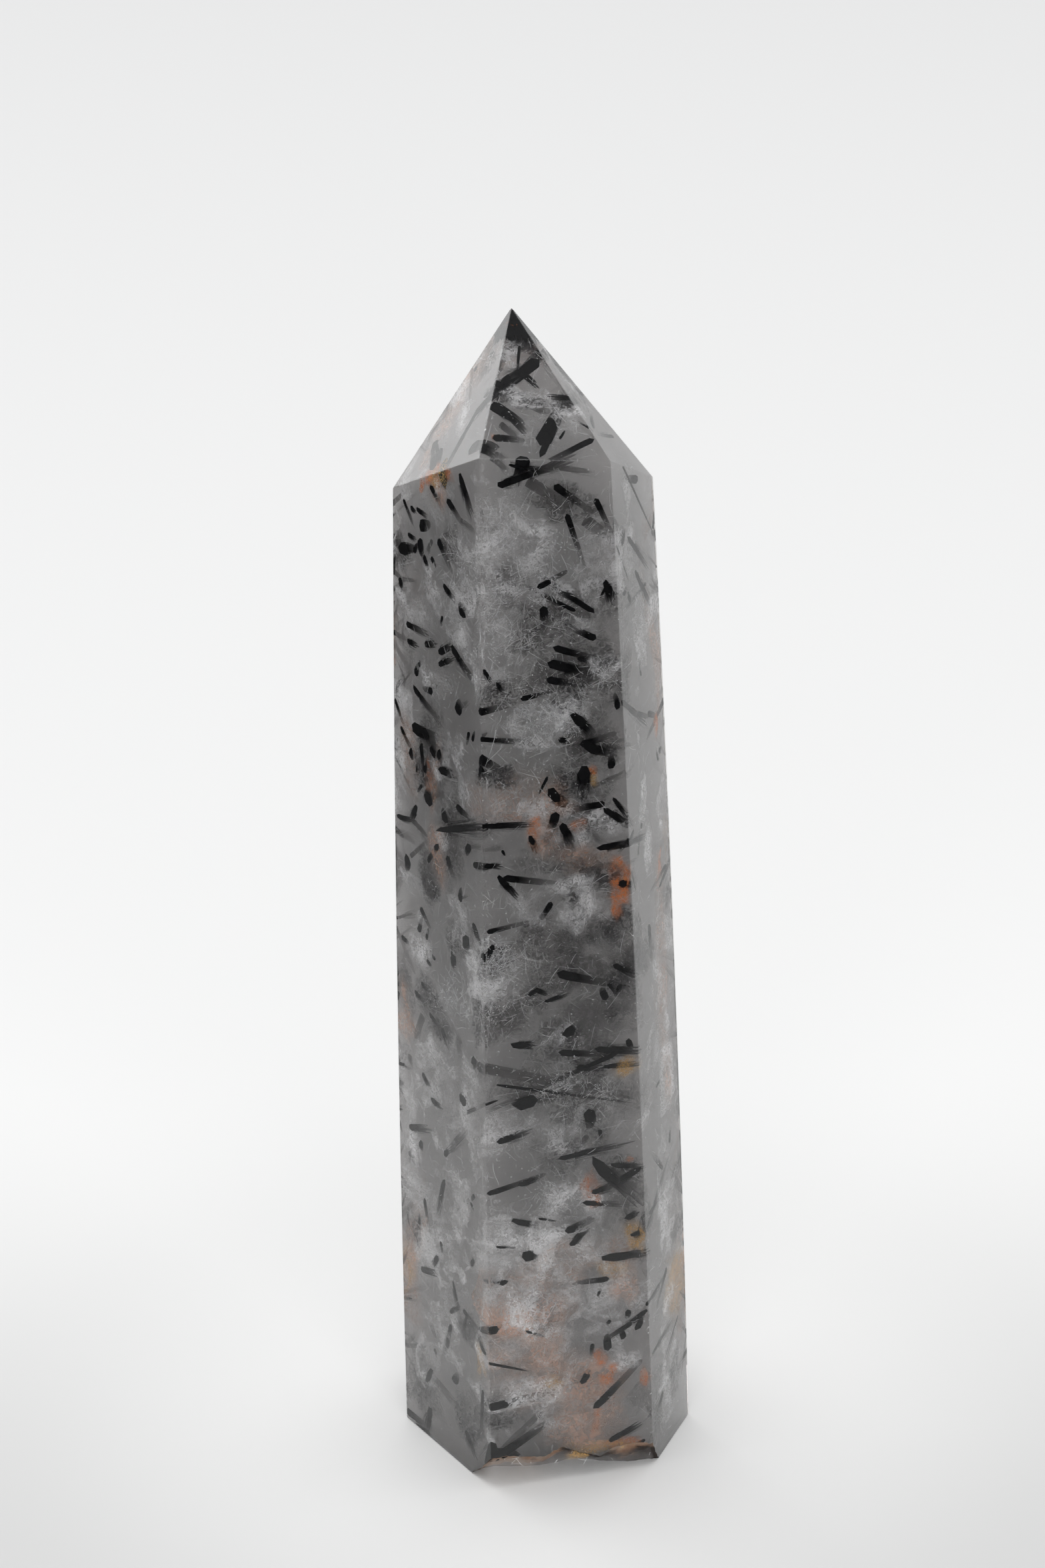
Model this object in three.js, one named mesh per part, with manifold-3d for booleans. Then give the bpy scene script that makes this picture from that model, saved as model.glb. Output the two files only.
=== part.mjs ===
// A hand-cut tower of cloudy quartz with black tourmaline crystals through it.
// Millimetres, +Z up. It stands on its sawn base with the origin under its middle, and the face
// that is seen first looks along -Y.
import * as THREE from "three";
import { ConvexGeometry } from "three/addons/geometries/ConvexGeometry.js";
import { mergeVertices } from "three/addons/utils/BufferGeometryUtils.js";
import Module from "manifold-3d";

const wasm = await Module();
wasm.setup();

// Driving dimensions of the tower: its tip, and its six long edges at the base and the shoulder.
const tip = new THREE.Vector3(-0.6, 0.4, 94.7);
const edges = {
  left: { base: [-11.4, 0.6], shoulder: [-9.8, 1.7, 80.2] },
  frontLeft: { base: [-4.6, -10.5], shoulder: [-3.2, -8.8, 86.5] },
  frontRight: { base: [8.3, -7.6], shoulder: [6.3, -6.7, 85.2] },
  right: { base: [11.4, 0], shoulder: [9.6, 1.1, 80.8] },
  backRight: { base: [4.3, 10.5], shoulder: [3.7, 9.6, 82.0] },
  backLeft: { base: [-8.0, 8.7], shoulder: [-7.0, 8.2, 80.6] },
};
const crown = 0.25; // how far the ground faces swell outwards at half height
const crownRings = 4;

// Each face lies between two edges, named as seen from outside: its left one, then its right one.
const faces = {
  left: ["left", "frontLeft"],
  front: ["frontLeft", "frontRight"],
  right: ["frontRight", "right"],
  backRight: ["right", "backRight"],
  back: ["backRight", "backLeft"],
  backLeft: ["backLeft", "left"],
};

const gap = 0.3; // room between a crystal and the quartz round it
const polishDepth = 0.05; // a cut crystal ends this far under the polished face
const outside = 2; // how far cutting solids reach past the surface
const cornerReach = 1.2; // how much further a corner moves in than the faces beside it

// The outline of a crystal, as shares of its radius and of its length, and its usual flatness.
const crystalOutline = { root: 1.04, waist: 0.86, waistAt: 0.6, shoulder: 0.66, flat: 0.85 };

// The rough skin left along the bottom of the front face, by its share of the way from the left
// corner to the right one: how high the break reaches on the face, and how deep on the base.
const roughSkin = [
  { along: -0.3, high: 0.3, deep: 1.6 },
  { along: 0, high: 2.8, deep: 3.4 },
  { along: 0.1, high: 2.9, deep: 3.3 },
  { along: 0.22, high: 2.6, deep: 2.9 },
  { along: 0.34, high: 2.5, deep: 2.5 },
  { along: 0.45, high: 3.0, deep: 2.7 },
  { along: 0.54, high: 2.3, deep: 2.9 },
  { along: 0.66, high: 1.7, deep: 2.2 },
  { along: 0.75, high: 2.2, deep: 1.6 },
  { along: 0.86, high: 2.3, deep: 1.3 },
  { along: 1, high: 2.3, deep: 1.1 },
  { along: 1.15, high: 1.0, deep: 0.8 },
];
const roughSteps = 34;
const roughness = 0.16;
// How the break curves from the face down to the base, as shares of its depth and its height.
const breakCurve = [
  [0.22, 0.72],
  [0.5, 0.46],
  [0.8, 0.24],
];
const cutterSlant = 0.5;

// The black mass that fills the tip, down to a ragged edge.
const tipMass = { bottom: 92.4, ragged: 0.4, middle: 91.9, radius: 5, sides: 11 };

// Crystals cut flush in each face. across is the share of the face's width from its left edge,
// heading is the way it runs on the face (0 to the right, 90 up), and dip is how steeply it goes in.
const pointCrystals = {
  front: [
    { across: 0.72, high: 91.3, heading: -152, dip: 17, length: 3.1, wide: 1.0, flat: 0.5 },
    { across: 0.08, high: 89.2, heading: -28, dip: 42, length: 3.4, wide: 0.9 },
    { across: 0.56, high: 87.0, heading: 48, dip: 23, length: 4.4, wide: 1.25, flat: 0.4 },
    { across: 0.13, high: 87.5, heading: 0, dip: 42, length: 3.4, wide: 0.6 },
    { across: 0.93, high: 86.5, heading: -166, dip: 20, length: 5.4, wide: 0.5 },
  ],
  left: [{ across: 0.2, high: 84.6, heading: -67, dip: 62, length: 2.4, wide: 0.5 }],
};
const faceCrystals = {
  front: [
    { across: 0.59, high: 83.6, heading: -43, dip: 30, length: 5.0, wide: 0.65, flat: 0.7 },
    { across: 0.66, high: 81.2, heading: -72, dip: 28, length: 6.0, wide: 0.5 },
    { across: 0.88, high: 82.2, heading: -66, dip: 34, length: 4.2, wide: 0.5 },
    { across: 0.44, high: 76.1, heading: 14, dip: 36, length: 3.0, wide: 0.5 },
    { across: 0.46, high: 74.2, heading: -82, dip: 48, length: 4.2, wide: 0.7 },
    { across: 0.81, high: 71.6, heading: 157, dip: 48, length: 3.4, wide: 0.6 },
    { across: 0.56, high: 71.0, heading: -26, dip: 24, length: 5.6, wide: 0.6 },
    { across: 0.5, high: 68.6, heading: -23, dip: 34, length: 4.6, wide: 0.65 },
    { across: 0.3, high: 67.4, heading: -2, dip: 36, length: 4.4, wide: 0.45 },
    { across: -0.02, high: 66.7, heading: -6, dip: 42, length: 4.5, wide: 0.62 },
    { across: -0.01, high: 63.0, heading: -44, dip: 42, length: 6.0, wide: 0.83, flat: 0.6 },
    { across: 0.72, high: 63.2, heading: 0, dip: 38, length: 3.6, wide: 0.65 },
    { across: 0.5, high: 57.6, heading: -100, dip: 40, length: 4.0, wide: 0.8, flat: 0.7 },
    { across: 0.17, high: 53.0, heading: -22, dip: 30, length: 6.4, wide: 0.6 },
    { across: 0.45, high: 50.4, heading: -112, dip: 40, length: 3.4, wide: 0.5 },
    { across: 0.04, high: 48.8, heading: -7, dip: 40, length: 4.6, wide: 0.45 },
    { across: 0.53, high: 44.4, heading: -24, dip: 21, length: 6.2, wide: 0.8, flat: 0.7 },
    { across: 0.52, high: 37.8, heading: -16, dip: 22, length: 6.0, wide: 0.6 },
    { across: 0.03, high: 26.6, heading: 5, dip: 22, length: 5.0, wide: 0.5 },
    { across: 0.52, high: 22.4, heading: 3, dip: 42, length: 4.0, wide: 0.7 },
    { across: 0.74, high: 17.6, heading: -166, dip: 38, length: 4.2, wide: 0.5 },
    { across: 0.67, high: 6.4, heading: 37, dip: 20, length: 5.2, wide: 0.7, flat: 0.7 },
  ],
  left: [
    { across: 0.46, high: 82.0, heading: -109, dip: 58, length: 4.7, wide: 0.83, flat: 0.6 },
    { across: 0.66, high: 81.7, heading: -102, dip: 60, length: 4.6, wide: 1.04, flat: 0.6 },
    { across: 0.54, high: 78.1, heading: -102, dip: 53, length: 5.0, wide: 0.73 },
    { across: 0.36, high: 62.1, heading: -101, dip: 50, length: 3.6, wide: 0.95, flat: 0.7 },
    { across: 0.61, high: 52.8, heading: -122, dip: 52, length: 4.6, wide: 0.75 },
    { across: 0.3, high: 47.0, heading: -104, dip: 54, length: 3.6, wide: 0.6 },
    { across: 0.28, high: 21.6, heading: -105, dip: 36, length: 4.8, wide: 0.45 },
    { across: 0.72, high: 14.4, heading: -75, dip: 58, length: 3.4, wide: 0.55 },
  ],
  right: [
    { across: 0.37, high: 63.9, heading: -27, dip: 30, length: 4.6, wide: 0.5 },
    { across: 0.4, high: 46.0, heading: -64, dip: 30, length: 5.0, wide: 0.6 },
    { across: 0.5, high: 15.6, heading: -99, dip: 40, length: 4.4, wide: 0.5 },
  ],
  backRight: [
    { across: 0.3, high: 70, heading: -35, dip: 36, length: 5.0, wide: 0.7 },
    { across: 0.6, high: 49, heading: 160, dip: 30, length: 5.4, wide: 0.6 },
    { across: 0.4, high: 24, heading: -70, dip: 42, length: 4.2, wide: 0.8, flat: 0.6 },
  ],
  back: [
    { across: 0.55, high: 76, heading: 200, dip: 34, length: 5.2, wide: 0.7 },
    { across: 0.25, high: 58, heading: -20, dip: 26, length: 6.0, wide: 0.6 },
    { across: 0.7, high: 40, heading: 140, dip: 40, length: 4.4, wide: 0.9, flat: 0.6 },
    { across: 0.4, high: 18, heading: 15, dip: 24, length: 5.6, wide: 0.5 },
  ],
  backLeft: [
    { across: 0.5, high: 67, heading: -110, dip: 44, length: 4.2, wide: 0.8, flat: 0.7 },
    { across: 0.45, high: 43, heading: -75, dip: 36, length: 4.6, wide: 0.6 },
    { across: 0.55, high: 17, heading: 70, dip: 40, length: 4.0, wide: 0.6 },
  ],
};

// Three stout crystals grown together at the front left corner of the base.
const baseCrystals = [
  { across: 0.0, high: 3.6, heading: -78, dip: 30, length: 3.0, wide: 1.3 },
  { across: 0.1, high: 3.4, heading: 22, dip: 24, length: 4.6, wide: 0.8 },
  { across: 0.03, high: 3.2, heading: -20, dip: 28, length: 2.6, wide: 1.2 },
];

const quartzColour = 0x9a9698;
const tourmalineColour = 0x17181a;

// The nth of a fixed run of numbers between -1 and 1 that look random.
function uneven(n) {
  const wave = Math.sin(n * 127.1 + 11.7) * 43758.5453;
  return 2 * (wave - Math.floor(wave)) - 1;
}

// A closed geometry as a solid that can be joined and cut.
function solidOf(geometry) {
  const bare = new THREE.BufferGeometry();
  bare.setAttribute("position", geometry.getAttribute("position"));
  if (geometry.index) bare.setIndex(geometry.index);
  const merged = mergeVertices(bare, 1e-4);
  const corners = [];
  for (let i = 0; i < merged.index.count; i += 3) {
    const [a, b, c] = [0, 1, 2].map((k) => merged.index.getX(i + k));
    if (a !== b && b !== c && c !== a) corners.push(a, b, c);
  }
  return new wasm.Manifold(
    new wasm.Mesh({
      numProp: 3,
      vertProperties: new Float32Array(merged.attributes.position.array),
      triVerts: new Uint32Array(corners),
    }),
  );
}

function geometryOf(solid) {
  const mesh = solid.getMesh();
  const geometry = new THREE.BufferGeometry();
  geometry.setAttribute("position", new THREE.BufferAttribute(mesh.vertProperties, 3));
  geometry.setIndex(new THREE.BufferAttribute(mesh.triVerts, 1));
  geometry.computeVertexNormals();
  return geometry;
}

function lerp(a, b, share) {
  return a + (b - a) * share;
}

// The point of a long edge at a share of its length, swelling outwards at half height.
function edgePoint(name, share) {
  const { base, shoulder } = edges[name];
  const swell = (crown * 4 * share * (1 - share)) / Math.hypot(...base);
  return new THREE.Vector3(
    lerp(base[0], shoulder[0], share) + base[0] * swell,
    lerp(base[1], shoulder[1], share) + base[1] * swell,
    shoulder[2] * share,
  );
}

// The whole cut stone, or the same stone a little smaller all round.
function stone(inset) {
  const points = [tip.clone().setZ(tip.z - 2 * inset)];
  for (const name of Object.keys(edges))
    for (let ring = 0; ring <= crownRings; ring++) {
      const point = edgePoint(name, ring / crownRings);
      const away = Math.hypot(point.x, point.y);
      point.x *= 1 - (cornerReach * inset) / away;
      point.y *= 1 - (cornerReach * inset) / away;
      if (ring === 0) point.z = inset;
      points.push(point);
    }
  return solidOf(new ConvexGeometry(points));
}

// A rough-sided body that breaks away the bottom of the front face.
function breakCutter() {
  const [from, to] = faces.front.map((name) => edgePoint(name, 0));
  const alongEdge = to.clone().sub(from);
  const outward = new THREE.Vector3(alongEdge.y, -alongEdge.x, 0).normalize();
  const first = roughSkin[0].along;
  const last = roughSkin[roughSkin.length - 1].along;
  const positions = [];
  const sections = [];
  for (let step = 0; step <= roughSteps; step++) {
    const along = lerp(first, last, step / roughSteps);
    const next = Math.max(1, roughSkin.findIndex((stop) => stop.along >= along));
    const [a, b] = [roughSkin[next - 1], roughSkin[next]];
    const share = (along - a.along) / (b.along - a.along);
    const high = lerp(a.high, b.high, share) + roughness * uneven(step);
    const deep = lerp(a.deep, b.deep, share) + roughness * uneven(step + 50);
    const inner = breakCurve.map(([inwards, up], k) => [
      -inwards * deep * (1 + roughness * uneven(step + 100 + 50 * k)),
      up * high,
    ]);
    const section = [
      [outside, -outside],
      [outside, high + cutterSlant],
      [0, high],
      ...inner,
      [-deep, 0],
      [-deep - cutterSlant, -outside],
    ];
    sections.push(section);
    for (const [out, up] of section) {
      const point = from.clone().addScaledVector(alongEdge, along).addScaledVector(outward, out);
      positions.push(point.x, point.y, up);
    }
  }
  const size = sections[0].length;
  const corners = [];
  for (let step = 0; step < roughSteps; step++)
    for (let k = 0; k < size; k++) {
      const a = step * size + k;
      const b = step * size + ((k + 1) % size);
      corners.push(a, a + size, b, b, a + size, b + size);
    }
  const lastSection = roughSteps * size;
  for (let k = 1; k < size - 1; k++) {
    corners.push(0, k, k + 1);
    corners.push(lastSection, lastSection + k + 1, lastSection + k);
  }
  const geometry = new THREE.BufferGeometry();
  geometry.setAttribute("position", new THREE.Float32BufferAttribute(positions, 3));
  geometry.setIndex(corners);
  return solidOf(geometry);
}

// A column with a ragged lower end, over the tip of the stone.
function tipCutter(lower) {
  const { bottom, ragged, middle, radius, sides } = tipMass;
  const column = new THREE.CylinderGeometry(radius, radius, 1, sides, 1).rotateX(Math.PI / 2);
  const place = column.getAttribute("position");
  for (let i = 0; i < place.count; i++) {
    const [x, y] = [place.getX(i), place.getY(i)];
    const turn = Math.round((Math.atan2(y, x) * sides) / (2 * Math.PI) + sides) % sides;
    const onAxis = Math.hypot(x, y) < radius / 2;
    const low = onAxis ? middle : bottom + ragged * uneven(turn + 7);
    place.setXYZ(i, x + tip.x, y + tip.y, place.getZ(i) > 0 ? tip.z + outside : low - lower);
  }
  return solidOf(column);
}

// Where a crystal breaks a face: the middle of its local frame, with +Y along the crystal.
function crystalMatrix(place, leftLine, rightLine) {
  const [left, right] = [leftLine(place.high), rightLine(place.high)];
  const [lower, upper] = [leftLine(place.high - 1), leftLine(place.high + 1)];
  const acrossFace = right.clone().sub(left).normalize();
  const inward = upper.sub(lower).cross(acrossFace).normalize();
  const upFace = acrossFace.clone().cross(inward).normalize();
  const heading = THREE.MathUtils.degToRad(place.heading);
  const dip = THREE.MathUtils.degToRad(place.dip);
  const direction = new THREE.Vector3()
    .addScaledVector(acrossFace, Math.cos(dip) * Math.cos(heading))
    .addScaledVector(upFace, Math.cos(dip) * Math.sin(heading))
    .addScaledVector(inward, Math.sin(dip));
  const flatSide = direction.clone().cross(inward).normalize();
  const basis = new THREE.Matrix4().makeBasis(
    flatSide,
    direction,
    flatSide.clone().cross(direction),
  );
  return basis.setPosition(left.lerp(right, place.across));
}

// A point at a height on a long edge, and on an edge of the point of the tower.
function edgeLine(name) {
  return (height) => edgePoint(name, height / edges[name].shoulder[2]);
}
function pointLine(name) {
  const shoulder = new THREE.Vector3(...edges[name].shoulder);
  return (height) => shoulder.clone().lerp(tip, (height - shoulder.z) / (tip.z - shoulder.z));
}

// A six-sided crystal with a low pointed end, or the pocket that it lies in.
function crystalSolid(place, spare) {
  const radius = place.wide / 2;
  const start = -outside - radius / Math.sin(THREE.MathUtils.degToRad(place.dip));
  const { root, waist, waistAt, shoulder, flat } = crystalOutline;
  const profile = [
    [0, start],
    [radius * root + spare, start],
    [radius + spare, 0],
    [radius * waist + spare, place.length * waistAt],
    [radius * shoulder + spare, place.length - radius],
    [0, place.length + 1.5 * spare],
  ];
  const lathe = new THREE.LatheGeometry(
    profile.map(([out, along]) => new THREE.Vector2(out, along)),
    6,
  );
  const thickness = radius * (place.flat ?? flat);
  return solidOf(lathe.scale(1, 1, (thickness + spare) / (radius + spare)));
}

const whole = stone(0);
const brokenEdge = breakCutter();
const room = stone(polishDepth).subtract(brokenEdge).subtract(tipCutter(gap));
let quartz = whole.subtract(brokenEdge).subtract(tipCutter(gap));

const tower = new THREE.Group();
const tourmaline = new THREE.MeshStandardMaterial({ color: tourmalineColour, roughness: 0.35 });

// Adds one named crystal, of one or more stems grown together, and hollows its pocket.
function addCrystal(name, places, leftLine, rightLine) {
  const stems = places.map((place) => {
    const matrix = crystalMatrix(place, leftLine, rightLine);
    return {
      matrix,
      crystal: crystalSolid(place, 0).transform(matrix.elements),
      pocket: crystalSolid(place, gap).transform(matrix.elements),
    };
  });
  for (const stem of stems) quartz = quartz.subtract(stem.pocket);
  const grown = stems.map((stem) => stem.crystal).reduce((all, one) => all.add(one));
  const matrix = stems[0].matrix;
  const geometry = geometryOf(grown.intersect(room));
  const mesh = new THREE.Mesh(geometry.applyMatrix4(matrix.clone().invert()), tourmaline);
  mesh.name = name;
  mesh.applyMatrix4(matrix);
  tower.add(mesh);
}

for (const [table, prefix, line] of [
  [pointCrystals, "tourmaline_point", pointLine],
  [faceCrystals, "tourmaline", edgeLine],
])
  for (const [face, places] of Object.entries(table)) {
    const [leftLine, rightLine] = faces[face].map(line);
    places.forEach((place, i) =>
      addCrystal(`${prefix}_${face}_${i + 1}`, [place], leftLine, rightLine),
    );
  }
addCrystal("tourmaline_base_corner", baseCrystals, ...faces.front.map(edgeLine));

const tipGeometry = geometryOf(whole.intersect(tipCutter(0)));
const tipPiece = new THREE.Mesh(tipGeometry.translate(-tip.x, -tip.y, -tip.z), tourmaline);
tipPiece.name = "tourmaline_tip";
tipPiece.position.copy(tip);
tower.add(tipPiece);

const quartzPiece = new THREE.Mesh(
  geometryOf(quartz),
  new THREE.MeshStandardMaterial({
    color: quartzColour,
    roughness: 0.08,
    transparent: true,
    opacity: 0.45,
  }),
);
quartzPiece.name = "quartz";
tower.add(quartzPiece);

export default tower;
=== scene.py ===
# A polished six-sided tower of cloudy quartz with black tourmaline needles grown through it.
# Metres, +Z up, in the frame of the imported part. The face seen first looks along -Y.
import math
import random

import bmesh
import bpy
from mathutils import Matrix, Vector, noise


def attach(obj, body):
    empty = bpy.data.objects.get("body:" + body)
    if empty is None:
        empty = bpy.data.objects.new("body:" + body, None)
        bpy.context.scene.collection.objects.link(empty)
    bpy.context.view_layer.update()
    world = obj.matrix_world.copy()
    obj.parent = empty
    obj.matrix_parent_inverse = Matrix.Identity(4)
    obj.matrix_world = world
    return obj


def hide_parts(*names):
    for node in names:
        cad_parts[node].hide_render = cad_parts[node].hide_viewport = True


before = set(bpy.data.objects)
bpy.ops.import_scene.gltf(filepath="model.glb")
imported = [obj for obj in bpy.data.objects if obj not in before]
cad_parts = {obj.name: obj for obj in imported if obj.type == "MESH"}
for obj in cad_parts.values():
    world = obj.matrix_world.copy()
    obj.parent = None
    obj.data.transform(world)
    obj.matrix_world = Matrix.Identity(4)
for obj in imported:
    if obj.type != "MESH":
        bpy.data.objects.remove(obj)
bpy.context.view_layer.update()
mm = 0.001
scene = bpy.context.scene

# The cut of the stone, in mm: the six long edges at the base and at the shoulder, and the tip
stone = {
    "tip": (-0.6, 0.4, 94.7),
    "edges": {
        "left": ((-11.4, 0.6), (-9.8, 1.7, 80.2)),
        "frontLeft": ((-4.6, -10.5), (-3.2, -8.8, 86.5)),
        "frontRight": ((8.3, -7.6), (6.3, -6.7, 85.2)),
        "right": ((11.4, 0.0), (9.6, 1.1, 80.8)),
        "backRight": ((4.3, 10.5), (3.7, 9.6, 82.0)),
        "backLeft": ((-8.0, 8.7), (-7.0, 8.2, 80.6)),
    },
    "crown": 0.25,  # how far the ground faces swell at half height
    "rings": 20,
    "inset": 0.015,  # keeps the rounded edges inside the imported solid
    "edgeWidth": 0.09,  # the tiny rounding of the polished edges
    "edgeSteps": 2,
    "edgeRound": 0.6,
    "edgeFrom": 12,  # the least angle in degrees of an edge that is rounded
    "creaseFrom": 38,  # the least angle of a crease in the shading
    "middle": 40,  # a height halfway up the long faces
    "faceTop": 86,  # the long faces aren't read above this height
}
faceEdges = {
    "left": ("left", "frontLeft"),
    "front": ("frontLeft", "frontRight"),
    "right": ("frontRight", "right"),
    "backRight": ("right", "backRight"),
    "back": ("backRight", "backLeft"),
    "backLeft": ("backLeft", "left"),
}
tip = Vector(stone["tip"])


def lerp(a, b, share):
    return a + (b - a) * share


def turned(one, other, angle):
    return one * math.cos(angle) + other * math.sin(angle)


# The level way along a face and the way up it
def waysAlong(normal):
    level = normal.cross(Vector((0, 0, 1))).normalized()
    return level, normal.cross(level)


def edgePoint(name, share):
    base, shoulder = stone["edges"][name]
    swell = stone["crown"] * 4 * share * (1 - share) / math.hypot(*base)
    x = lerp(base[0], shoulder[0], share) + base[0] * swell
    y = lerp(base[1], shoulder[1], share) + base[1] * swell
    return Vector((x, y, shoulder[2] * share))


# A face of the prism or of the point as a plane in mm near a height: a point on it and its normal
def facePlane(face, height, onPoint=False):
    first, second = faceEdges[face]
    if onPoint:
        a = Vector(stone["edges"][first][1])
        b = Vector(stone["edges"][second][1])
        normal = (b - a).cross(tip - a).normalized()
        return a, normal
    span = 0.02
    shares = [height / stone["edges"][name][1][2] for name in (first, second)]
    a = edgePoint(first, shares[0])
    b = edgePoint(second, shares[1])
    higher = edgePoint(first, shares[0] + span)
    return a, (b - a).cross(higher - a).normalized()


def newObject(name, mesh):
    piece = bpy.data.objects.new(name, mesh)
    scene.collection.objects.link(piece)
    return piece


def meshFromBmesh(name, bm):
    mesh = bpy.data.meshes.new(name)
    bm.to_mesh(mesh)
    bm.free()
    return mesh


def newPiece(name, bm, material):
    piece = newObject(name, meshFromBmesh(name, bm))
    piece.data.materials.append(material)
    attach(piece, "root")
    return piece


def hideFrom(piece, *rays):
    for ray in rays:
        setattr(piece, "visible_" + ray, False)


# Keeps a see-through piece out of the light that wanders in the haze, which saves time
def onlyStraightSeen(piece):
    hideFrom(piece, "shadow", "diffuse", "volume_scatter")


# Camera, set where the photograph's corners line up with the stone's
cameraSpot = {
    "aim": (-0.70, 9.55, 52.0),
    "elevation": 25.0,
    "distance": 400.0,
    "roll": -1.5,
    "lens": 117.55,
    "sensor": 36.0,
    "clip": (0.01, 20),
}
photoSize = (1568, 2352)


def cameraAxes():
    rise = math.radians(cameraSpot["elevation"])
    turn = math.radians(cameraSpot["roll"])
    back = Vector((0, -math.cos(rise), math.sin(rise)))
    right = Vector((1, 0, 0))
    up = back.cross(right)
    return turned(right, up, turn), turned(up, -right, turn), back


def addCamera():
    right, up, back = cameraAxes()
    data = bpy.data.cameras.new("photoCamera")
    data.lens = cameraSpot["lens"]
    data.sensor_width = cameraSpot["sensor"]
    data.sensor_fit = "AUTO"
    data.clip_start, data.clip_end = cameraSpot["clip"]
    camera = newObject("photoCamera", data)
    place = (Vector(cameraSpot["aim"]) + back * cameraSpot["distance"]) * mm
    turn = Matrix((right, up, back)).transposed().to_4x4()
    camera.matrix_world = Matrix.Translation(place) @ turn
    scene.camera = camera


addCamera()
print("camera set")


# Adds a node with its settings and with what its sockets are given, values or other outputs
def node(tree, kind, given=(), **settings):
    made = tree.nodes.new("ShaderNode" + kind)
    for name, value in settings.items():
        setattr(made, name, value)
    for name, value in dict(given).items():
        if isinstance(value, bpy.types.NodeSocket):
            tree.links.new(value, made.inputs[name])
        else:
            made.inputs[name].default_value = value
    return made.outputs


def maths(tree, operation, *values):
    return node(tree, "Math", enumerate(values), operation=operation)[0]


def vectors(tree, operation, *values):
    made = node(tree, "VectorMath", enumerate(values), operation=operation)
    return made["Value" if operation in ("LENGTH", "DISTANCE", "DOT_PRODUCT") else "Vector"]


def ramp(tree, value, low, high, start=0, stop=1, way="SMOOTHSTEP"):
    given = {"Value": value, "From Min": low, "From Max": high, "To Min": start, "To Max": stop}
    return node(tree, "MapRange", given, interpolation_type=way)["Result"]


def mixed(tree, share, one, other):
    return node(tree, "Mix", {0: share, 6: one, 7: other}, data_type="RGBA")[2]


def clouded(tree, place, scale, detail, roughness=0.5, distortion=0.0):
    return node(tree, "TexNoise", {
        "Vector": place, "Scale": scale, "Detail": detail,
        "Roughness": roughness, "Distortion": distortion,
    })["Fac"]


def axisOf(tree, vector, axis):
    return node(tree, "SeparateXYZ", {0: vector})[axis]


# A shader group with its named sockets, the outputs of its entry and the inputs of its end
def newGroup(name, given, made):
    group = bpy.data.node_groups.new(name, "ShaderNodeTree")
    for way, sockets in (("INPUT", given), ("OUTPUT", made)):
        for label, kind in sockets.items():
            group.interface.new_socket(label, in_out=way, socket_type="NodeSocket" + kind)
    return group, group.nodes.new("NodeGroupInput").outputs, group.nodes.new("NodeGroupOutput").inputs


# The middle of a unit square, for masks that fade towards its rim
squareMiddle = (0.5, 0.5, 0)


# A material with its plain values. What varies over it is linked to its shader's sockets.
def newMaterial(name, plain):
    material = bpy.data.materials.new(name)
    material.use_nodes = True
    shader = material.node_tree.nodes["Principled BSDF"].inputs
    for label, value in plain.items():
        shader[label].default_value = value
    return material, material.node_tree, shader


# The white sweep, the soft room and its windows. The room is darker on the camera's side.
stage = {
    "floorRadius": 2.5,
    "floorSides": 96,
    "floorDrop": 0.00003,
    "floorColour": (0.835, 0.835, 0.83, 1),
    "farColour": (0.72, 0.72, 0.72, 1),
    "near": 0.015,
    "far": 0.60,
    "rim": (0.015, 0.047),  # how far from the stone the painted shade on the floor in front starts and stops growing
    "rimPaintedShade": (0.03, 0.22),
    "front": (-0.02, 0.06),  # the way back along Y over which that goes away
    "roomColour": (0.94, 0.945, 0.95, 1),
    "roomFront": 0.34,
    "roomBack": 0.90,
    "roomTurn": (0.0, 0.55, 0.55),  # the way from its dark side to its bright side
    "roomBand": (-0.4, 0.6),
}
# Soft boxes: place in metres, size and power. All look at the stone.
softBoxes = {
    "topLight": {"at": (-0.05, 0.06, 0.78), "size": (0.5, 0.6), "power": 1.8},
    "leftWindow": {"at": (-0.75, 0.75, 0.42), "size": (0.75, 0.75), "power": 2.2},
    "frontBox": {"at": (0.05, -0.85, 0.42), "size": (0.9, 0.4), "power": 3.0},
    "rightWindow": {"at": (0.8, 0.75, 0.35), "size": (0.6, 0.6), "power": 1.25},
}
softBoxAim = (0, 0, 0.04)
# Dark cards that only reflections see: two corners each and a height, in metres
darkCards = {
    "frontCard": {"from": (-0.22, -0.46), "to": (0.34, -0.035), "height": 0, "cover": 1},
    "leftCard": {"from": (-0.52, -0.10), "to": (-0.045, 0.35), "height": 0, "cover": 1},
    "highCard": {"from": (0.03, -0.21), "to": (0.24, 0.0), "height": 0.34, "cover": 0.55},
}
cardColour = (0.03, 0.03, 0.03, 1)
cardFade = (0.30, 0.5)  # where from the middle of a card it starts to fade, and where it is gone


# The sweep is painted a little darker away from the stone, and more so in front of it: painted shade for
# the light's fall-off
def sweepMaterial():
    material, tree, shader = newMaterial("paleSweep", {"Roughness": 0.9, "Specular IOR Level": 0.0})
    place = node(tree, "TexCoord")["Object"]
    away = vectors(tree, "LENGTH", place)
    near, far = math.sqrt(stage["near"]), math.sqrt(stage["far"])
    fall = ramp(tree, maths(tree, "SQRT", away), near, far, way="LINEAR")
    colour = mixed(tree, fall, stage["floorColour"], stage["farColour"])
    front = ramp(tree, axisOf(tree, place, "Y"), *stage["front"], 1, 0)
    rim = ramp(tree, away, *stage["rim"], *stage["rimPaintedShade"])
    left = maths(tree, "SUBTRACT", 1, maths(tree, "MULTIPLY", front, rim))
    dim = node(tree, "VectorMath", {0: colour, "Scale": left}, operation="SCALE")
    tree.links.new(dim["Vector"], shader["Base Color"])
    return material


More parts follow.
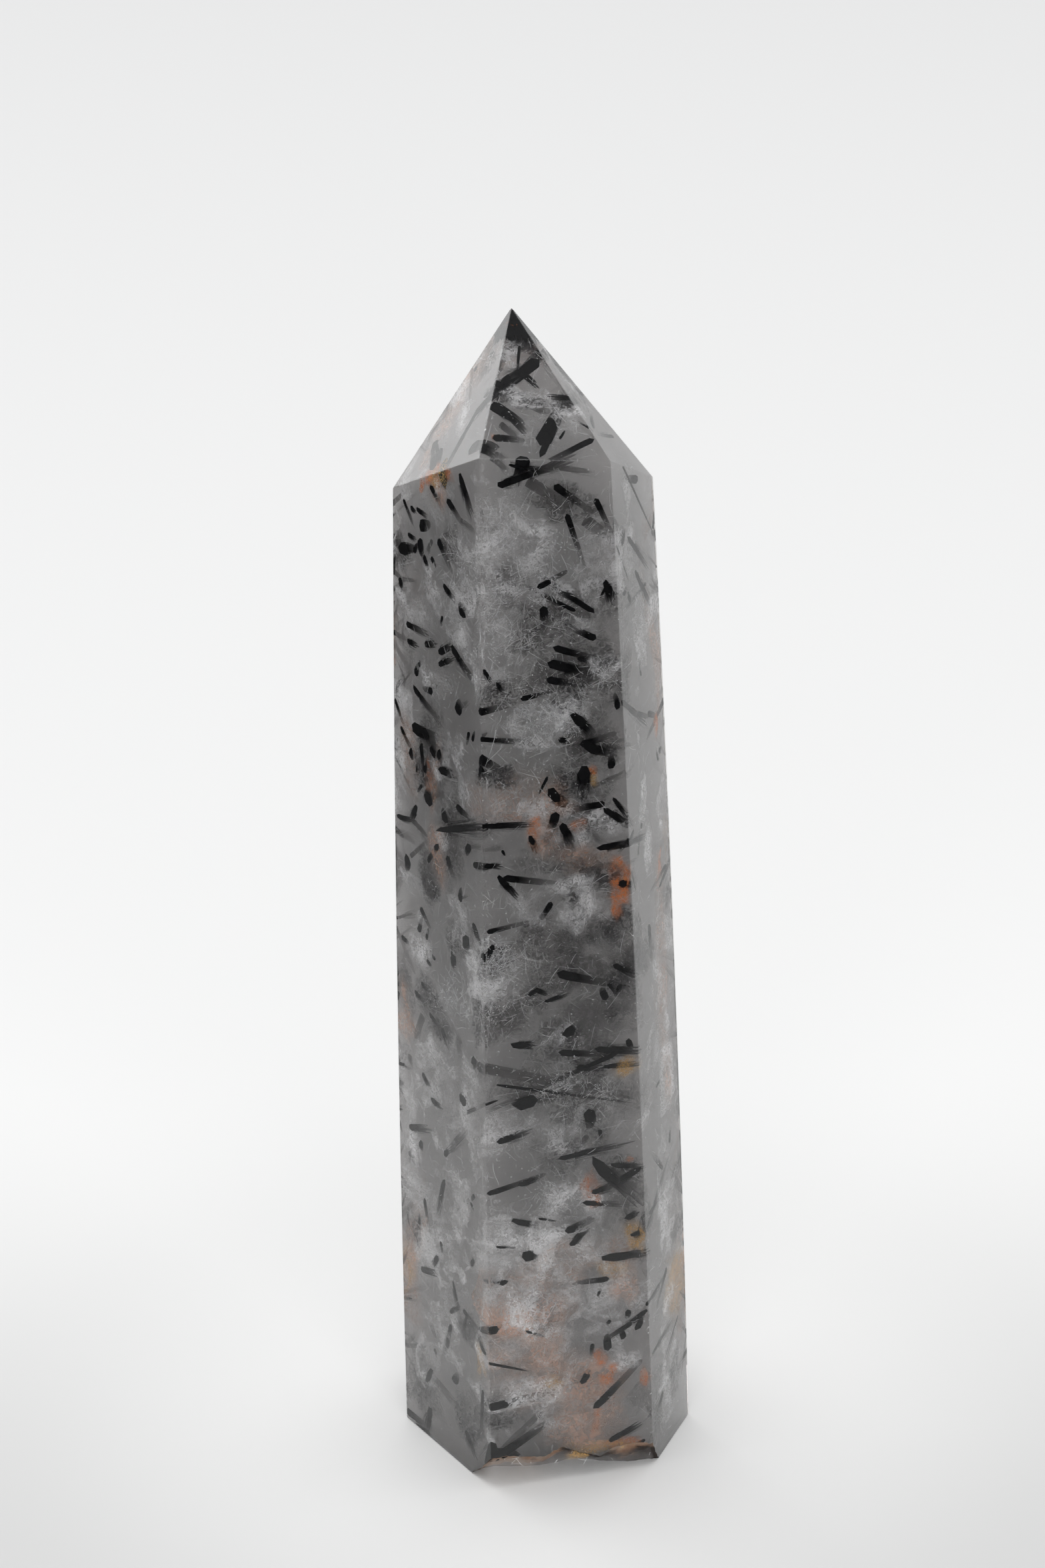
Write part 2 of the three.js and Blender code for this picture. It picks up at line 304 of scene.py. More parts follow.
def addFloor():
    bm = bmesh.new()
    sides, radius = stage["floorSides"], stage["floorRadius"]
    bmesh.ops.create_circle(bm, cap_ends=True, segments=sides, radius=radius)
    floor = newObject("paleFloor", meshFromBmesh("paleFloor", bm))
    floor.location.z = -stage["floorDrop"]
    floor.data.materials.append(sweepMaterial())


def addRoom():
    world = bpy.data.worlds.new("softRoom")
    world.use_nodes = True
    tree = world.node_tree
    turn = vectors(tree, "DOT_PRODUCT", node(tree, "TexCoord")["Generated"], stage["roomTurn"])
    glow = ramp(tree, turn, *stage["roomBand"], stage["roomFront"], stage["roomBack"])
    background = tree.nodes["Background"].inputs
    background["Color"].default_value = stage["roomColour"]
    tree.links.new(glow, background["Strength"])
    scene.world = world


def addSoftBoxes():
    for name, box in softBoxes.items():
        light = bpy.data.lights.new(name, "AREA")
        light.shape = "RECTANGLE"
        light.size, light.size_y = box["size"]
        light.energy = box["power"]
        lamp = newObject(name, light)
        lamp.location = box["at"]
        towards = Vector(softBoxAim) - lamp.location
        lamp.rotation_euler = towards.to_track_quat("-Z", "Y").to_euler()


# The cards fade out at their borders, so no reflection ends in a line
def cardMaterial(name, cover):
    material, tree, shader = newMaterial(name, {"Base Color": cardColour, "Specular IOR Level": 0.0})
    middle = vectors(tree, "SUBTRACT", node(tree, "TexCoord")["Generated"], squareMiddle)
    away = vectors(tree, "ABSOLUTE", middle)
    most = maths(tree, "MAXIMUM", axisOf(tree, away, "X"), axisOf(tree, away, "Y"))
    tree.links.new(ramp(tree, most, *cardFade, cover, 0), shader["Alpha"])
    return material


def addDarkCards():
    for name, card in darkCards.items():
        (x0, y0), (x1, y1) = card["from"], card["to"]
        bm = bmesh.new()
        corners = ((x0, y0), (x1, y0), (x1, y1), (x0, y1))
        bm.faces.new([bm.verts.new((x, y, card["height"])) for x, y in corners])
        piece = newObject(name, meshFromBmesh(name, bm))
        piece.data.materials.append(cardMaterial(name, card["cover"]))
        hideFrom(piece, "camera", "diffuse", "transmission", "volume_scatter", "shadow")


addFloor()
addRoom()
addSoftBoxes()
addDarkCards()
scene.view_settings.view_transform = "Standard"
print("stage and lights set")

# The rough skin left along the bottom of the front face: share of the way along the edge, how
# high the break reaches on the face and how deep on the base, in mm
roughSkin = {
    "stops": (
        (-0.3, 0.3, 1.6), (0.0, 2.8, 3.4), (0.1, 2.9, 3.3), (0.22, 2.6, 2.9),
        (0.34, 2.5, 2.5), (0.45, 3.0, 2.7), (0.54, 2.3, 2.9), (0.66, 1.7, 2.2),
        (0.75, 2.2, 1.6), (0.86, 2.3, 1.3), (1.0, 2.3, 1.1), (1.15, 1.0, 0.8),
    ),
    "steps": 170,
    "roundSteps": 26,
    "lumps": (0.55, 0.22),  # how close together they are, and how high in mm
    "grit": (3.1, 0.06),
    "swell": 0.7,
    "octaves": 3,
    "outside": 2.0,  # how far its cutter reaches out of the stone
    "above": 0.5,
    "behind": 0.4,
}
# How the break curves from the face down to the base: shares of its depth and its height
breakCurve = ((0.0, 1.0), (0.22, 0.72), (0.5, 0.46), (0.8, 0.24), (1.0, 0.0))


def alongStops(stops, share):
    after = next((i for i, stop in enumerate(stops) if stop[0] >= share), len(stops) - 1)
    after = max(after, 1)
    a, b = stops[after - 1], stops[after]
    part = (share - a[0]) / (b[0] - a[0])
    return [lerp(a[k], b[k], part) for k in range(1, len(a))]


def breakCutter():
    start = edgePoint("frontLeft", 0)
    run = edgePoint("frontRight", 0) - start
    outward = Vector((run.y, -run.x, 0)).normalized()
    stops, outside = roughSkin["stops"], roughSkin["outside"]
    last = len(breakCurve) - 1
    rounding = [(i / last, *spot) for i, spot in enumerate(breakCurve)]
    bm = bmesh.new()
    sections = []
    for step in range(roughSkin["steps"] + 1):
        along = lerp(stops[0][0], stops[-1][0], step / roughSkin["steps"])
        high, deep = alongStops(stops, along)
        curve = [(outside, -outside), (outside, high + roughSkin["above"])]
        for k in range(roughSkin["roundSteps"] + 1):
            inwards, up = alongStops(rounding, k / roughSkin["roundSteps"])
            spot = start + run * along + outward * (-deep * inwards) + Vector((0, 0, high * up))
            swell = 0
            for near, rise in (roughSkin["lumps"], roughSkin["grit"]):
                swell += noise.fractal(spot * near, 1.0, 2.0, roughSkin["octaves"]) * rise
            swell *= roughSkin["swell"]
            curve.append((-deep * inwards - swell, high * up + swell))
        curve.append((-deep - roughSkin["behind"], -outside))
        spots = [start + run * along + outward * out + Vector((0, 0, up)) for out, up in curve]
        sections.append([bm.verts.new(spot * mm) for spot in spots])
    for a, b in zip(sections, sections[1:]):
        for k in range(len(a)):
            n = (k + 1) % len(a)
            bm.faces.new((a[k], b[k], b[n], a[n]))
    bm.faces.new(sections[0])
    bm.faces.new(list(reversed(sections[-1])))
    bmesh.ops.recalc_face_normals(bm, faces=bm.faces)
    for face in bm.faces:
        face.material_index = 1
    return newObject("breakCutter", meshFromBmesh("breakCutter", bm))


def insetSpot(spot, inset):
    away = math.hypot(spot.x, spot.y)
    return Vector((spot.x * (1 - inset / away), spot.y * (1 - inset / away), spot.z))


def stoneMesh(inset, rings, top):
    bm = bmesh.new()
    lines = {}
    for edge in stone["edges"]:
        spots = [insetSpot(edgePoint(edge, i / rings), inset) for i in range(rings + 1)]
        lines[edge] = [bm.verts.new(spot * mm) for spot in spots]
    peak = bm.verts.new(Vector((tip.x, tip.y, top)) * mm)
    for first, second in faceEdges.values():
        a, b = lines[first], lines[second]
        for i in range(rings):
            bm.faces.new((a[i], b[i], b[i + 1], a[i + 1]))
        bm.faces.new((a[-1], b[-1], peak))
    bm.faces.new([lines[edge][0] for edge in reversed(list(stone["edges"]))])
    bmesh.ops.recalc_face_normals(bm, faces=bm.faces)
    return bm


def isPolishedEdge(edge):
    return len(edge.link_faces) == 2 and edge.calc_face_angle() > math.radians(stone["edgeFrom"])


def cutStone():
    bm = stoneMesh(stone["inset"], stone["rings"], tip.z - 2 * stone["inset"])
    sharp = [edge for edge in bm.edges if isPolishedEdge(edge)]
    bmesh.ops.bevel(
        bm, geom=sharp, offset=stone["edgeWidth"] * mm, segments=stone["edgeSteps"],
        profile=stone["edgeRound"], affect="EDGES"
    )
    piece = newObject("polishedQuartz", meshFromBmesh("polishedQuartz", bm))
    cutter = breakCutter()
    for mesh in (piece.data, cutter.data):
        mesh.materials.append(None)  # the polished stone's slot
        mesh.materials.append(None)  # the rough skin's slot
    cut = piece.modifiers.new("brokenEdge", "BOOLEAN")
    cut.operation = "DIFFERENCE"
    cut.solver = "EXACT"
    cut.object = cutter
    useModifiers(piece)
    bpy.data.objects.remove(cutter)
    piece.data.set_sharp_from_angle(angle=math.radians(stone["creaseFrom"]))
    for face in piece.data.polygons:
        face.use_smooth = True
    weighted = piece.modifiers.new("flatFaces", "WEIGHTED_NORMAL")
    weighted.weight = 100
    weighted.keep_sharp = True
    useModifiers(piece)
    return piece


def useModifiers(piece):
    shown = piece.evaluated_get(bpy.context.evaluated_depsgraph_get())
    mesh = bpy.data.meshes.new_from_object(shown)
    old = piece.data
    piece.modifiers.clear()
    piece.data = mesh
    mesh.name = old.name
    bpy.data.meshes.remove(old)


quartz = cutStone()
print("quartz cut:", len(quartz.data.polygons), "faces")

# A fine grain that mixes two colours
grainShape = {"detail": 5, "roughness": 0.65, "band": (0.38, 0.62)}


def grainGroup():
    given = {"Position": "Vector", "Scale": "Float", "One": "Color", "Other": "Color"}
    group, entry, end = newGroup("mineralGrain", given, {"Colour": "Color"})
    detail, roughness = grainShape["detail"], grainShape["roughness"]
    grain = clouded(group, entry["Position"], entry["Scale"], detail, roughness)
    share = ramp(group, grain, *grainShape["band"])
    group.links.new(mixed(group, share, entry["One"], entry["Other"]), end["Colour"])
    return group


mineralGrain = grainGroup()


def addGrain(tree, place, scale, one, other):
    given = {"Position": place, "Scale": scale, "One": one, "Other": other}
    return node(tree, "Group", given, node_tree=mineralGrain)["Colour"]


# Looks of the quartz
clearQuartz = {
    "refraction": 1.544,
    "roughness": 0.02,
    "absorbed": (0.805, 0.785, 0.78, 1),
    "absorption": 220.0,
}


def quartzMaterial():
    material, tree = newMaterial("clearQuartz", {
        "Base Color": (1, 1, 1, 1),
        "Transmission Weight": 1,
        "IOR": clearQuartz["refraction"],
        "Roughness": clearQuartz["roughness"],
    })[:2]
    given = {"Color": clearQuartz["absorbed"], "Density": clearQuartz["absorption"]}
    soak = node(tree, "VolumeAbsorption", given)
    tree.links.new(soak["Volume"], tree.nodes["Material Output"].inputs["Volume"])
    return material


# The natural skin: tan and rusty crusts, its own colour, with near-black painted shade in its hollows,
# more of it towards the base
ironSkin = {
    "tan": (0.27, 0.215, 0.175, 1),
    "rust": (0.22, 0.125, 0.078, 1),
    # the near-black of the painted shade in the hollows
    "dark": (0.02, 0.013, 0.010, 1),
    "crust": 420,
    "hollows": 300,
    "shadedHollowDetail": 5,
    "shadedHollowBand": (0.31, 0.43),
    "lowerShade": -110.0,  # how fast the painted shade of the hollows thins out with height, per metre
    "grit": 2600,
    "gritDetail": 4,
    "bump": 0.5,
    "bumpHeight": 0.1,
}


def roughMaterial():
    material, tree, shader = newMaterial("ironSkin", {"Roughness": 0.85})
    place = node(tree, "TexCoord")["Object"]
    crust = addGrain(tree, place, ironSkin["crust"], ironSkin["tan"], ironSkin["rust"])
    hollow = clouded(tree, place, ironSkin["hollows"], ironSkin["shadedHollowDetail"])
    lower = maths(tree, "MULTIPLY_ADD", axisOf(tree, place, "Z"), ironSkin["lowerShade"], hollow)
    deep = ramp(tree, lower, *ironSkin["shadedHollowBand"])
    tree.links.new(mixed(tree, deep, crust, ironSkin["dark"]), shader["Base Color"])
    grit = clouded(tree, place, ironSkin["grit"], ironSkin["gritDetail"])
    given = {"Distance": ironSkin["bumpHeight"] * mm, "Strength": ironSkin["bump"], "Height": grit}
    tree.links.new(node(tree, "Bump", given)["Normal"], shader["Normal"])
    return material


quartz.data.materials[0] = quartzMaterial()
quartz.data.materials[1] = roughMaterial()
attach(quartz, "root")
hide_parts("quartz")

# Milky haze, which scatters light a little under the faces
milk = {
    "inset": 0.3,
    "colour": (0.690, 0.665, 0.661, 1),
    "density": 340.0,
    "forward": 0.0,
    "top": 92.4,  # it thins out below the tip
    "foot": 0.2,
    "rings": 4,
}


def addHaze():
    bm = stoneMesh(milk["inset"], milk["rings"], milk["top"])
    for vertex in bm.verts:
        vertex.co.z = max(vertex.co.z, milk["foot"] * mm)
    material, tree = newMaterial("milkyHaze", {"Alpha": 0})[:2]
    given = {"Color": milk["colour"], "Density": milk["density"], "Anisotropy": milk["forward"]}
    scatter = node(tree, "VolumeScatter", given)
    tree.links.new(scatter["Volume"], tree.nodes["Material Output"].inputs["Volume"])
    newPiece("milkyHaze", bm, material)


addHaze()

# Black tourmaline, painted grey deeper under the faces and towards the far ends of the needles: painted
# haze glow, for the light that the milky haze scatters in front of them
tourmaline = {
    "black": (0.004, 0.004, 0.005, 1),
    "paintedGlow": (0.14, 0.137, 0.14, 1),
    "clearDepth": 0.8,
    "paintedGlowDepth": 4.0,
    "tail": (0.65, 1.3),  # where along a needle it starts to fade into the painted haze glow, and where it is gone
    "streaks": (9.0, 1.6, 1.0),
    "streakShift": (120, 120, 120),
    "streakDetail": 3,
    "streaky": 0.7,
}


# The depth under the nearest face in mm, from object coordinates
def depthGroup():
    group, entry, end = newGroup("depthInStone", {"Position": "Vector"}, {"Depth": "Float"})
    lowest = None
    for onPoint in (False, True):
        for face in faceEdges:
            spot, normal = facePlane(face, stone["middle"], onPoint)
            along = vectors(group, "DOT_PRODUCT", entry["Position"], -normal / mm)
            under = maths(group, "ADD", along, normal.dot(spot))
            lowest = under if lowest is None else maths(group, "MINIMUM", lowest, under)
    group.links.new(lowest, end["Depth"])
    return group


depthInStone = depthGroup()


def tourmalineMaterial():
    plain = {"Roughness": 0.4, "Specular IOR Level": 0.05}
    material, tree, shader = newMaterial("blackTourmaline", plain)
    place = node(tree, "TexCoord")
    depth = node(tree, "Group", {"Position": place["Object"]}, node_tree=depthInStone)["Depth"]
    fade = ramp(tree, depth, tourmaline["clearDepth"], tourmaline["paintedGlowDepth"], way="LINEAR")
    stretch = vectors(tree, "MULTIPLY", place["UV"], tourmaline["streaks"])
    shift = vectors(tree, "MULTIPLY_ADD", place["Object"], tourmaline["streakShift"], stretch)
    streak = clouded(tree, shift, 1, tourmaline["streakDetail"])
    streaky = tourmaline["streaky"]
    uneven = maths(tree, "MULTIPLY_ADD", streak, streaky, axisOf(tree, place["UV"], "Y"))
    tail = ramp(tree, uneven, *[end + streaky / 2 for end in tourmaline["tail"]])
    # painted haze glow: the share of grey, by depth and along the needle
    paintedGlow = maths(tree, "MAXIMUM", fade, tail)
    colour = mixed(tree, paintedGlow, tourmaline["black"], tourmaline["paintedGlow"])
    tree.links.new(colour, shader["Base Color"])
    return material


blackTourmaline = tourmalineMaterial()
for name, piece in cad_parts.items():
    if name.startswith("tourmaline"):
        for holder in piece.material_slots:
            holder.material = blackTourmaline
print("cut crystals finished")

# Reading the photograph: the ray of a pixel, the face it meets and the way it bends inside
pixelsPerUnit = cameraSpot["lens"] / cameraSpot["sensor"] * photoSize[1]
pixelsPerMm = 19.2  # on the stone, at its distance from the camera


def pixelRay(x, y):
    right, up, back = cameraAxes()
    across = (x - photoSize[0] / 2) / pixelsPerUnit
    rise = (photoSize[1] / 2 - y) / pixelsPerUnit
    eye = Vector(cameraSpot["aim"]) + back * cameraSpot["distance"]
    return eye, (right * across + up * rise - back).normalized()


def onLongFace(height):
    return min(max(height, 0), stone["faceTop"])


def spotOnFace(face, x, y, onPoint=False):
    eye, ray = pixelRay(x, y)
    height = stone["middle"]
    for attempt in range(3):  # again at the height found, because the faces swell
        spot, normal = facePlane(face, height, onPoint)
        found = eye + ray * ((spot - eye).dot(normal) / ray.dot(normal))
        height = onLongFace(found.z)
    return found, normal, ray


# The place in the stone that shows at a pixel, at a depth in mm under the face
def spotInside(face, x, y, depth, onPoint=False):
    found, normal, ray = spotOnFace(face, x, y, onPoint)
    bend = 1 / clearQuartz["refraction"]
    facing = -ray.dot(normal)
    inner = ray * bend + normal * (bend * facing - math.sqrt(1 - bend**2 * (1 - facing**2)))
    return found + inner * (depth / -inner.dot(normal))


# The planes that close the stone near a height, a little under its faces
def planesNear(height, under):
    planes = []
    for onPoint in (False, True):
        for face in faceEdges:
            spot, normal = facePlane(face, onLongFace(height), onPoint)
            planes.append((spot - normal * under, normal))
    planes.append((Vector((0, 0, under)), Vector((0, 0, -1))))
    return planes


# The planes of the whole stone, kept for each step of height in mm
knownPlanes = {}
planeStep = 4


def planesAt(height):
    step = round(height / planeStep)
    if step not in knownPlanes:
        knownPlanes[step] = planesNear(step * planeStep, 0)
    return knownPlanes[step]


def depthUnder(spot):
    return min((place - spot).dot(normal) for place, normal in planesAt(spot.z))


def keptInside(spot, depth):
    for place, normal in planesAt(spot.z):
        over = (spot - place).dot(normal) + depth
        if over > 0:
            spot = spot - normal * over
    return spot


# Cuts a closed mesh in mm off at each plane that it crosses
def cutFlush(bm, planes):
    for spot, normal in planes:
        if not bm.verts:
            return
        if max(normal.dot(vertex.co - spot) for vertex in bm.verts) <= 0:
            continue
        parts = bm.verts[:] + bm.edges[:] + bm.faces[:]
        cut = bmesh.ops.bisect_plane(
            bm, geom=parts, dist=1e-5, plane_co=spot, plane_no=normal, clear_outer=True
        )
        rim = [part for part in cut["geom_cut"] if isinstance(part, bmesh.types.BMEdge)]
        if rim:
            bmesh.ops.edgeloop_fill(bm, edges=rim)


# A crystal: where its rings lie along it, their share of its width, and how uneven it is
needleShape = {
    "rings": ((0.0, 1.0), (0.3, 0.97), (0.6, 0.9), (0.82, 0.7), (0.94, 0.4)),
    "sides": 6,
    "uneven": 0.16,
    "bend": 0.05,
    "peakAside": 0.2,
    "under": 0.06,
    "outside": 0.2,  # how far in mm one starts outside the face that cuts it
    "leastSlope": 0.05,
    "overlap": 0.35,  # the most of its length that its cut end takes up
    "flattest": 0.5,
    "roundest": 0.9,
    "bolder": 1.18,  # the haze's glow eats into their outlines
    "slantedBolder": 1.4,  # on the left face, which the photograph shows at a slant
    "shallower": 0.75,  # of the depth that a row gives, so their far ends stay dark
    "endOnReach": (2, 14),  # how far in pixels one seen end on goes on behind its cut
    "endOnLean": 6,
    "endOnDepths": (1.4, 2.2),
    "buried": (1.5, 2.4),  # the depths in mm of the ends of one that lies inside
    "buriedFlat": 0.7,
    "frayFrom": 0.3,  # crystals wider than this in mm end in thin ones
    "frays": ((-0.34, 0.5, 0.16), (0.3, 0.55, 0.3), (0.0, 0.6, 0.42)),
    "frayReach": (0.4, 1.2),
    "frayAside": (0.9, 1.5),
    "frayWide": (0.22, 0.38),
    "frayFades": (0.55, 1.15),
}


def addFace(bm, uvLayer, corners):
    face = bm.faces.new([vertex for vertex, uv in corners])
    for loop, (vertex, uv) in zip(face.loops, corners):
        loop[uvLayer].uv = uv
    return face


# Adds one crystal in mm to a mesh, from a start to an end, cut at the stone's faces. The UV goes
# round it and along it, and its fading end has the higher values.
def growNeedle(bm, start, end, wide, thick, flatWay, chooser, fades=(0.0, 1.0)):
    run = end - start
    along = run.normalized()
    side = along.cross(flatWay).normalized()
    other = along.cross(side)
    uneven = needleShape["uneven"]
    sides = needleShape["sides"]
    spread = [1 + chooser.uniform(-uneven, uneven) for k in range(sides)]
    turn = chooser.uniform(0, math.tau / sides)
    one = bmesh.new()
    uvLayer = one.loops.layers.uv.new("along")
    rings = []
    for share, size in needleShape["rings"]:
        sway = wide * needleShape["bend"]
        middle = start + run * share + side * chooser.uniform(-sway, sway)
        ring = []
        for k in range(sides):
            angle = turn + k * math.tau / sides
            a = math.cos(angle) * wide / 2 * spread[k] * size
            b = math.sin(angle) * thick / 2 * spread[k] * size
            ring.append(one.verts.new(middle + side * a + other * b))
        rings.append((ring, lerp(*fades, share)))
    aside = needleShape["peakAside"]
    peak = one.verts.new(end + side * chooser.uniform(-aside, aside) * wide)
    for k in range(sides):
        n = (k + 1) % sides
        left, right = k / sides, (k + 1) / sides
        for (low, a), (high, b) in zip(rings, rings[1:]):
            lower = [(low[k], (left, a)), (low[n], (right, a))]
            addFace(one, uvLayer, lower + [(high[n], (right, b)), (high[k], (left, b))])
        last, b = rings[-1]
        addFace(one, uvLayer, [(last[k], (left, b)), (last[n], (right, b)), (peak, (left, fades[1]))])
    one.faces.new(list(reversed(rings[0][0])))
    bmesh.ops.recalc_face_normals(one, faces=one.faces)
    cutFlush(one, planesNear((start.z + end.z) / 2, needleShape["under"]))
    addTo(bm, one)


def addTo(bm, one):
    for vertex in one.verts:
        vertex.co *= mm
    part = bpy.data.meshes.new("part")
    one.to_mesh(part)
    one.free()
    bm.from_mesh(part)
    bpy.data.meshes.remove(part)


# The hairy end of a crystal: thin waved dark strips along it, whose streaks fade out in the haze. They
# are partly the crystal's own fibres and partly painted shade for the dark halo round its end.
needleHairAndShade = {
    "from": 0.4,
    "to": (1.05, 1.5),
    "wider": (1.1, 1.9),
    "steps": 7,
    "strips": 2,
    "turn": 0.07,
    "sway": 0.3,
    "curl": 3,
    "lift": 0.06,
    "numbers": 60,  # how many strips of the streaks there are to choose from
    "under": 0.08,
    "streaks": (6.0, 1.1, 0.0),
    "streakDetail": 4,
    "streakRoughness": 0.6,
    "band": (0.36, 0.60),
    "rim": 0.4,
    "fadeFrom": 0.2,
    "cover": 0.85,
    "colour": (0.012, 0.012, 0.013, 1),
}
hairAndShadeStrips = bmesh.new()
stripLayer = hairAndShadeStrips.loops.layers.uv.new("strip")


def addHairyShadedEnd(start, end, wide, normal, chooser):
    for strip in range(needleHairAndShade["strips"]):
        run = end - start
        side = run.cross(normal).normalized()
        run = run + side * (run.length * chooser.uniform(-1, 1) * needleHairAndShade["turn"])
        first = start + run * needleHairAndShade["from"]
        last = start + run * chooser.uniform(*needleHairAndShade["to"])
        half = side * (wide / 2 * chooser.uniform(*needleHairAndShade["wider"]))
        sway = side * (wide * chooser.uniform(-needleHairAndShade["sway"], needleHairAndShade["sway"]))
        lift = normal * (needleHairAndShade["lift"] * (1 + strip))
        number = chooser.randrange(needleHairAndShade["numbers"])
        rows = []
        for step in range(needleHairAndShade["steps"] + 1):
            share = step / needleHairAndShade["steps"]
            middle = lerp(first, last, share) + sway * math.sin(share * needleHairAndShade["curl"]) + lift
            row = []
            for across in (0, 0.5, 1):
                spot = keptInside(middle + half * (across * 2 - 1), needleHairAndShade["under"])
                row.append((hairAndShadeStrips.verts.new(spot * mm), (number + across, share)))
            rows.append(row)
        for low, high in zip(rows, rows[1:]):
            for k in (0, 1):
                addFace(hairAndShadeStrips, stripLayer, (low[k], low[k + 1], high[k + 1], high[k]))


def seenWidth(face, pixels):
    bolder = needleShape["slantedBolder"] if face == "left" else needleShape["bolder"]
    return pixels / pixelsPerMm * bolder


# A crystal that breaks a face at one pixel and fades towards another, down to a depth in mm
def crossFace(bm, face, seen, onPoint, chooser):
    x0, y0, x1, y1, width, depth = seen
    cut, normal = spotOnFace(face, x0, y0, onPoint)[:2]
    end = spotInside(face, x1, y1, depth * needleShape["shallower"], onPoint)
    wide = seenWidth(face, width)
    thick = wide * chooser.uniform(needleShape["flattest"], needleShape["roundest"])
    run = end - cut
    slope = max(-run.normalized().dot(normal), needleShape["leastSlope"])
    overlap = min(thick / 2 / slope, needleShape["overlap"] * run.length)
    start = cut + run.normalized() * overlap
    start -= (end - start).normalized() * (thick / slope + needleShape["outside"])
    growNeedle(bm, start, end, wide, thick, normal, chooser)
    if wide < needleShape["frayFrom"]:
        return
    side = run.cross(normal).normalized() * wide
    for aside, rootAt, reach in needleShape["frays"]:
        root = lerp(start, end, rootAt) + side * aside
        point = end + run * reach * chooser.uniform(*needleShape["frayReach"])
        point += side * aside * chooser.uniform(*needleShape["frayAside"])
        thin = wide * chooser.uniform(*needleShape["frayWide"])
        growNeedle(bm, root, point, thin, thin, normal, chooser, needleShape["frayFades"])
    addHairyShadedEnd(start, end, wide, normal, chooser)


# A crystal seen end on: a cut spot of a width and height in pixels, and the crystal behind it
def endOn(bm, face, seen, onPoint, chooser):
    x, y, width, height = seen
    longer = max(width, height)
    way = (0, 1) if height >= width else (1, 0)
    turn = chooser.choice((-1, 1))
    reach = longer * 0.5 + chooser.uniform(*needleShape["endOnReach"])
    lean = chooser.uniform(-needleShape["endOnLean"], needleShape["endOnLean"])
    depth = chooser.uniform(*needleShape["endOnDepths"])
    far = (x + (way[0] * reach + way[1] * lean) * turn, y + (way[1] * reach + way[0] * lean) * turn)
    cut, normal = spotOnFace(face, x, y, onPoint)[:2]
    end = spotInside(face, *far, depth, onPoint)
    run = (end - cut).normalized()
    slope = -run.dot(normal)
    wide = seenWidth(face, min(width, height))
    thick = seenWidth(face, longer) * slope
    start = cut - run * (thick / slope + needleShape["outside"])
    growNeedle(bm, start, end, wide, thick, normal, chooser)


# A crystal that lies wholly in the stone, from one depth to another
def lieInside(bm, face, seen, onPoint, chooser):
    x0, y0, x1, y1, width = seen
    near, far = needleShape["buried"]
    start = spotInside(face, x0, y0, near, onPoint)
    end = spotInside(face, x1, y1, far, onPoint)
    wide = seenWidth(face, width)
    normal = facePlane(face, start.z, onPoint)[1]
    growNeedle(bm, start, end, wide, wide * needleShape["buriedFlat"], normal, chooser)
    addHairyShadedEnd(start, end, wide, normal, chooser)


growWays = {6: crossFace, 5: lieInside, 4: endOn}

# The smaller crystals as they show in the photograph, in its pixels. Six numbers are one that
# is cut at a face: the cut end, the fading end, its width, and the depth in mm that it reaches.
# Five are one that lies inside: its ends and width. Four are one seen end on: its middle and size.
pointSeen = (
    (780, 518, 776, 560, 4, 1.0), (785, 560, 802, 576, 9, 1.3), (765, 588, 792, 602, 9),
    (793, 603, 826, 618, 15), (858, 597, 831, 595, 7, 0.6), (815, 676, 832, 640, 10, 1.0),
    (840, 658, 848, 645, 4, 0.5), (740, 611, 772, 630, 10, 1.1), (748, 608, 786, 646, 9, 1.7),
    (752, 636, 776, 656, 9), (720, 670, 740, 681, 13, 1.3), (745, 682, 760, 690, 10),
    (748, 697, 812, 699, 6, 1.4), (793, 552, 762, 572, 13, 0.9), (762, 568, 740, 598, 11, 1.3),
    (772, 584, 742, 594, 9), (846, 612, 856, 600, 14), (742, 573, 758, 585, 10, 1.0),
)
leftPointSeen = (
    (734, 597, 715, 618, 10, 0.8), (716, 616, 668, 702, 8, 1.4), (709, 671, 18, 13),
    (653, 665, 10, 14), (658, 680, 12, 16), (650, 697, 14, 18), (713, 554, 7, 7),
)
